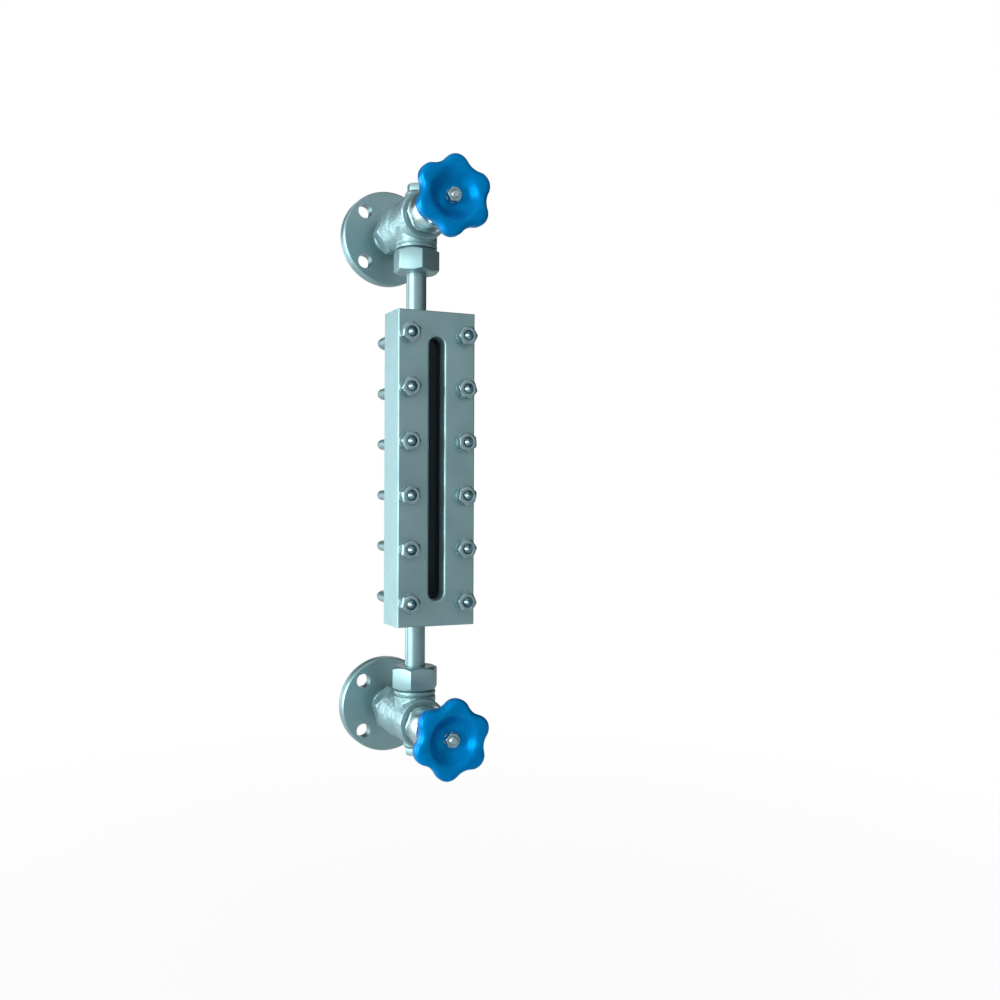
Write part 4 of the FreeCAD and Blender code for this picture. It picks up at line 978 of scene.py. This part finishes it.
def roughen(mesh, side, depth):
    """Dent the outer skin of a valve body, and leave its bores and seats alone.

    Each point moves along its normal by a sum of waves, 3 to 8 mm long, that
    run in scattered directions. The skin is where the normal leads away from
    the valve's axis on the barrel, and from the pipe's axis beyond it.
    """
    count = len(mesh.vertices)
    points, normals = np.empty(count * 3), np.empty(count * 3)
    mesh.vertices.foreach_get("co", points)
    mesh.vertex_normals.foreach_get("vector", normals)
    points, normals = points.reshape(-1, 3), normals.reshape(-1, 3)
    source = np.random.default_rng(SKIN_SEED)
    ways = source.normal(size=(WAVES, 3))
    ways /= np.linalg.norm(ways, axis=1, keepdims=True)
    pace = math.tau / (source.uniform(*WAVE_LENGTHS, WAVES) * MM)
    waves = np.sin(points @ (ways * pace[:, None]).T + source.uniform(0, math.tau, WAVES))
    dent = waves.sum(axis=1) / math.sqrt(WAVES)
    height = points[:, 2] - axis_height(side) * MM
    on_barrel = np.abs(height) < BARREL_RADIUS * MM
    level = np.stack((points[:, 0], np.zeros(count), height), axis=1)
    upright = np.stack((points[:, 0], points[:, 1] + pipe_depth() * MM, np.zeros(count)), axis=1)
    outwards = np.where(on_barrel, (normals * level).sum(axis=1), (normals * upright).sum(axis=1))
    skin = outwards > SKIN_BEGINS * MM
    points += normals * (dent * skin * depth)[:, None]
    mesh.vertices.foreach_set("co", points.ravel())
    mesh.update()


# Radius and place of each weld's ring. The pipe's is counted from the chamber.
PIPE_WELD = (11.4, -1.4)
TAIL_WELD = (14.6, 15.1)


class GAUGE_OT_weld_beads(bpy.types.Operator):
    """Make the rippled weld beads at the pipe ends and at the flanges' tails"""
    bl_idname = "gauge.weld_beads"
    bl_label = "Weld beads"

    def execute(self, context):
        sizes = context.scene.gauge_welds
        bead = sizes.bead_radius / MM
        spacing = sizes.ripple_spacing / MM
        for side in SIDES:
            foot, _ = height_span(side, "chamber")
            ring, place = PIPE_WELD
            angles, profile = rippled_bead(bead, ring, foot + place, spacing)
            make_piece(side + "_pipe_weld", [stood_upright(profile, angles, side)], "grey_paint")
            angles, profile = rippled_bead(bead, *TAIL_WELD, spacing)
            make_piece(side + "_tail_weld", [laid_level(profile, angles, side)], "grey_paint")
        return {"FINISHED"}


def rippled_bead(bead, ring, place, spacing):
    """A round bead carried round a pipe.

    Its thickness swells by a twelfth in a wave as long as the ripple spacing,
    and the wave lags at the bead's edges, which bends each ripple.
    """
    angles = even_angles(240)
    ripples = round(math.tau * ring / spacing)
    turns = np.linspace(0, math.tau, 14, endpoint=False)[:, None]
    swell = 1 + np.abs(np.sin(ripples * angles / 2 + 0.5 * np.cos(turns))) / 12
    return angles, np.stack((
        place + bead * swell * np.cos(turns), ring + bead * swell * np.sin(turns)
    ), axis=2)


# Finishes of the CAD nodes that stay in view: on each valve, and on the gauge
VALVE_FINISHES = {
    "grey_paint": ("flange", "pipe", "union_collar", "disc"),
    "sealing_sheet": ("tail_gasket", "bonnet_gasket", "union_gasket"),
    "graphite": ("packing",),
    "zinc": ("gland",),
}
GAUGE_FINISHES = {
    "grey_paint": ("front_cover",),
    "brushed_paint": ("chamber",),
    "reflex_glass": ("sight_glass",),
    "sealing_sheet": ("glass_cushion", "glass_gasket", "lower_drain_plug_gasket", "upper_vent_plug_gasket"),
}


class GAUGE_OT_cad_finishes(bpy.types.Operator):
    """Give the CAD nodes that stay in view the finish of their real material"""
    bl_idname = "gauge.cad_finishes"
    bl_label = "Finishes of the solids"

    def execute(self, context):
        wanted = [(node, finish) for finish, nodes in GAUGE_FINISHES.items() for node in nodes]
        for finish, endings in VALVE_FINISHES.items():
            wanted += [("%s_%s" % (side, ending), finish) for side in SIDES for ending in endings]
        for node, finish in wanted:
            for slot in frame["nodes"][node].material_slots:
                slot.material = finish_named(finish)
        return {"FINISHED"}


# Studio

WHITE = (1.0, 1.0, 1.0, 1.0)
LAMP_COLOUR = (0.92, 0.98, 1.0)
LAMP_TARGET = (0.0, -0.12, 0.25)
SENSOR_WIDTH = 36.0
VIEW_DEPTH = 50.0

# Floor: its radius and its points, and how white the camera sees it near and far
FLOOR_RADIUS = 6.0
FLOOR_RINGS, FLOOR_SPOKES = 25, 96
FLOOR_NEAR = {"From Min": 0.25, "To Min": 0.9}
FLOOR_FAR = {"From Max": 1.3, "To Max": 1.0}

# Room: brightest on the left in front, and white behind the object
BRIGHT_WAY = (-0.7, -0.7, 0.3)
BRIGHT_RANGE = {"From Min": -0.5, "From Max": 1.0, "To Min": 0.05, "To Max": 0.8}
WHITE_WAY = (0.42, 0.907, 0.0)
WHITE_RANGE = {"From Min": 0.94, "From Max": 0.99}


def add_lamp(name, place, size, power):
    """A soft lamp turned so that it shines at the gauge."""
    lamp = bpy.data.lights.new(name, "AREA")
    lamp.shape = "RECTANGLE"
    lamp.size, lamp.size_y = size
    lamp.energy = power
    lamp.color = LAMP_COLOUR
    thing = new_object(name, lamp)
    thing.location = place
    way = Vector(LAMP_TARGET) - thing.location
    thing.rotation_euler = way.to_track_quat("-Z", "Y").to_euler()


class GAUGE_OT_studio(bpy.types.Operator):
    """Make the pale floor, the white surroundings, the soft lamps and the camera"""
    bl_idname = "gauge.studio"
    bl_label = "Studio"

    def execute(self, context):
        scene = context.scene
        studio = scene.gauge_studio
        scene.view_settings.view_transform = "Standard"
        make_floor(studio.floor_height, scene.gauge_colours.floor)
        make_surroundings(scene)
        add_lamp("key_softbox", (-2.3, -0.6, 0.42), (2.2, 1.44), studio.key_power)
        add_lamp("rim_softbox", (-1.2, 1.5, 0.28), (0.8, 1.1), studio.rim_power)
        camera = bpy.data.cameras.new("camera")
        camera.lens = studio.lens
        camera.sensor_width = SENSOR_WIDTH
        camera.clip_end = VIEW_DEPTH
        scene.camera = new_object("camera", camera)
        scene.camera.location = studio.camera_place
        scene.camera.rotation_euler = studio.camera_turn
        return {"FINISHED"}


def seen_directly(tree, rays):
    """1 for a ray that comes from the camera or through glass, and 0 for the rest."""
    return add_node(tree, "ShaderNodeMath", {
        0: rays.outputs["Is Camera Ray"], 1: rays.outputs["Is Transmission Ray"],
    }, operation="MAXIMUM").outputs["Value"]


def make_floor(height, colour):
    """A round floor that keeps the shadow near the object and fades to white far off."""
    rings = np.linspace(FLOOR_RADIUS, 0.0, FLOOR_RINGS)[:, None]
    angles = even_angles(FLOOR_SPOKES)
    level = np.full((FLOOR_RINGS, FLOOR_SPOKES), height)
    flat = np.stack((rings * np.cos(angles), rings * np.sin(angles), level), axis=2)
    mesh = bpy.data.meshes.new("studio_floor")
    faces = grid_faces(FLOOR_RINGS, FLOOR_SPOKES, False)
    mesh.from_pydata(flat.reshape(-1, 3).tolist(), [], faces.tolist())
    join_points(mesh)
    floor = new_object("studio_floor", mesh)
    material = bpy.data.materials.new("matt_studio_floor")
    tree = cleared_tree(material)
    shade = add_node(tree, "ShaderNodeBsdfDiffuse", {"Color": colour})
    white = add_node(tree, "ShaderNodeEmission", {"Color": WHITE, "Strength": 1.0})
    place = add_node(tree, "ShaderNodeTexCoord").outputs["Object"]
    away = add_node(tree, "ShaderNodeVectorMath", {0: place}, operation="LENGTH").outputs["Value"]
    fade = add_node(tree, "ShaderNodeMapRange", {"Value": away, **FLOOR_NEAR, **FLOOR_FAR}).outputs["Result"]
    seen = seen_directly(tree, add_node(tree, "ShaderNodeLightPath"))
    share = add_node(tree, "ShaderNodeMath", {0: fade, 1: seen}, operation="MULTIPLY").outputs["Value"]
    mix = add_node(tree, "ShaderNodeMixShader", {
        "Fac": share, 1: shade.outputs["BSDF"], 2: white.outputs["Emission"],
    })
    add_node(tree, "ShaderNodeOutputMaterial", {"Surface": mix.outputs["Shader"]})
    mesh.materials.append(material)


def facing(tree, way, limits):
    """A share that grows smoothly as the view turns towards a direction."""
    view = add_node(tree, "ShaderNodeTexCoord").outputs["Generated"]
    along = add_node(tree, "ShaderNodeVectorMath", {0: view, 1: way}, operation="DOT_PRODUCT")
    return add_node(
        tree, "ShaderNodeMapRange", {"Value": along.outputs["Value"], **limits},
        interpolation_type="SMOOTHSTEP"
    ).outputs["Result"]


def make_surroundings(scene):
    """White where the camera looks, and a room that is bright on the left.

    Reflections see white behind the object and the room elsewhere.
    """
    world = bpy.data.worlds.new("studio_room")
    tree = cleared_tree(world)
    rays = add_node(tree, "ShaderNodeLightPath")
    mirrored = add_node(tree, "ShaderNodeMath", {
        0: rays.outputs["Is Glossy Ray"], 1: facing(tree, WHITE_WAY, WHITE_RANGE),
    }, operation="MULTIPLY").outputs["Value"]
    share = add_node(tree, "ShaderNodeMath", {
        0: seen_directly(tree, rays), 1: mirrored,
    }, operation="MAXIMUM").outputs["Value"]
    level = add_node(tree, "ShaderNodeMix", {
        "Factor": share, "A": facing(tree, BRIGHT_WAY, BRIGHT_RANGE), "B": 1.0,
    }, data_type="FLOAT")
    back = add_node(tree, "ShaderNodeBackground", {"Color": WHITE, "Strength": level.outputs["Result"]})
    add_node(tree, "ShaderNodeOutputWorld", {"Surface": back.outputs["Background"]})
    scene.world = world


# Panel and registration

PIECES = (
    GAUGE_OT_handwheels,
    GAUGE_OT_stems,
    GAUGE_OT_bonnets,
    GAUGE_OT_union_nuts,
    GAUGE_OT_plugs,
    GAUGE_OT_cover_bolts,
    GAUGE_OT_valve_bodies,
    GAUGE_OT_weld_beads,
    GAUGE_OT_cad_finishes,
    GAUGE_OT_studio,
)
GROUPS = {
    "gauge_handwheel": GaugeHandwheelSizes,
    "gauge_nuts": GaugeNutSizes,
    "gauge_threads": GaugeThreadSizes,
    "gauge_welds": GaugeWeldSizes,
    "gauge_casting": GaugeCastingSizes,
    "gauge_colours": GaugeColours,
    "gauge_studio": GaugeStudio,
}


class GAUGE_PT_panel(bpy.types.Panel):
    """Lists the gauge's pieces, sizes and colours"""
    bl_idname = "GAUGE_PT_panel"
    bl_label = "Tank level gauge"
    bl_space_type = "VIEW_3D"
    bl_region_type = "UI"
    bl_category = "Level Gauge"

    def draw(self, context):
        for operator in PIECES:
            self.layout.operator(operator.bl_idname)
        for attribute, group in GROUPS.items():
            box = self.layout.box()
            box.label(text=attribute.replace("_", " ").capitalize())
            for name in group.__annotations__:
                box.prop(getattr(context.scene, attribute), name)


def register():
    for group in GROUPS.values():
        bpy.utils.register_class(group)
    for attribute, group in GROUPS.items():
        setattr(bpy.types.Scene, attribute, bpy.props.PointerProperty(type=group))
    for operator in PIECES:
        bpy.utils.register_class(operator)
    bpy.utils.register_class(GAUGE_PT_panel)


def unregister():
    bpy.utils.unregister_class(GAUGE_PT_panel)
    for operator in reversed(PIECES):
        bpy.utils.unregister_class(operator)
    for attribute in GROUPS:
        delattr(bpy.types.Scene, attribute)
    for group in reversed(GROUPS.values()):
        bpy.utils.unregister_class(group)


def main():
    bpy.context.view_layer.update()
    register()
    bpy.ops.gauge.handwheels()
    bpy.ops.gauge.stems()
    bpy.ops.gauge.bonnets()
    bpy.ops.gauge.union_nuts()
    bpy.ops.gauge.plugs()
    bpy.ops.gauge.cover_bolts()
    bpy.ops.gauge.valve_bodies()
    bpy.ops.gauge.weld_beads()
    bpy.ops.gauge.cad_finishes()
    bpy.ops.gauge.studio()


if __name__ == "__main__":
    main()
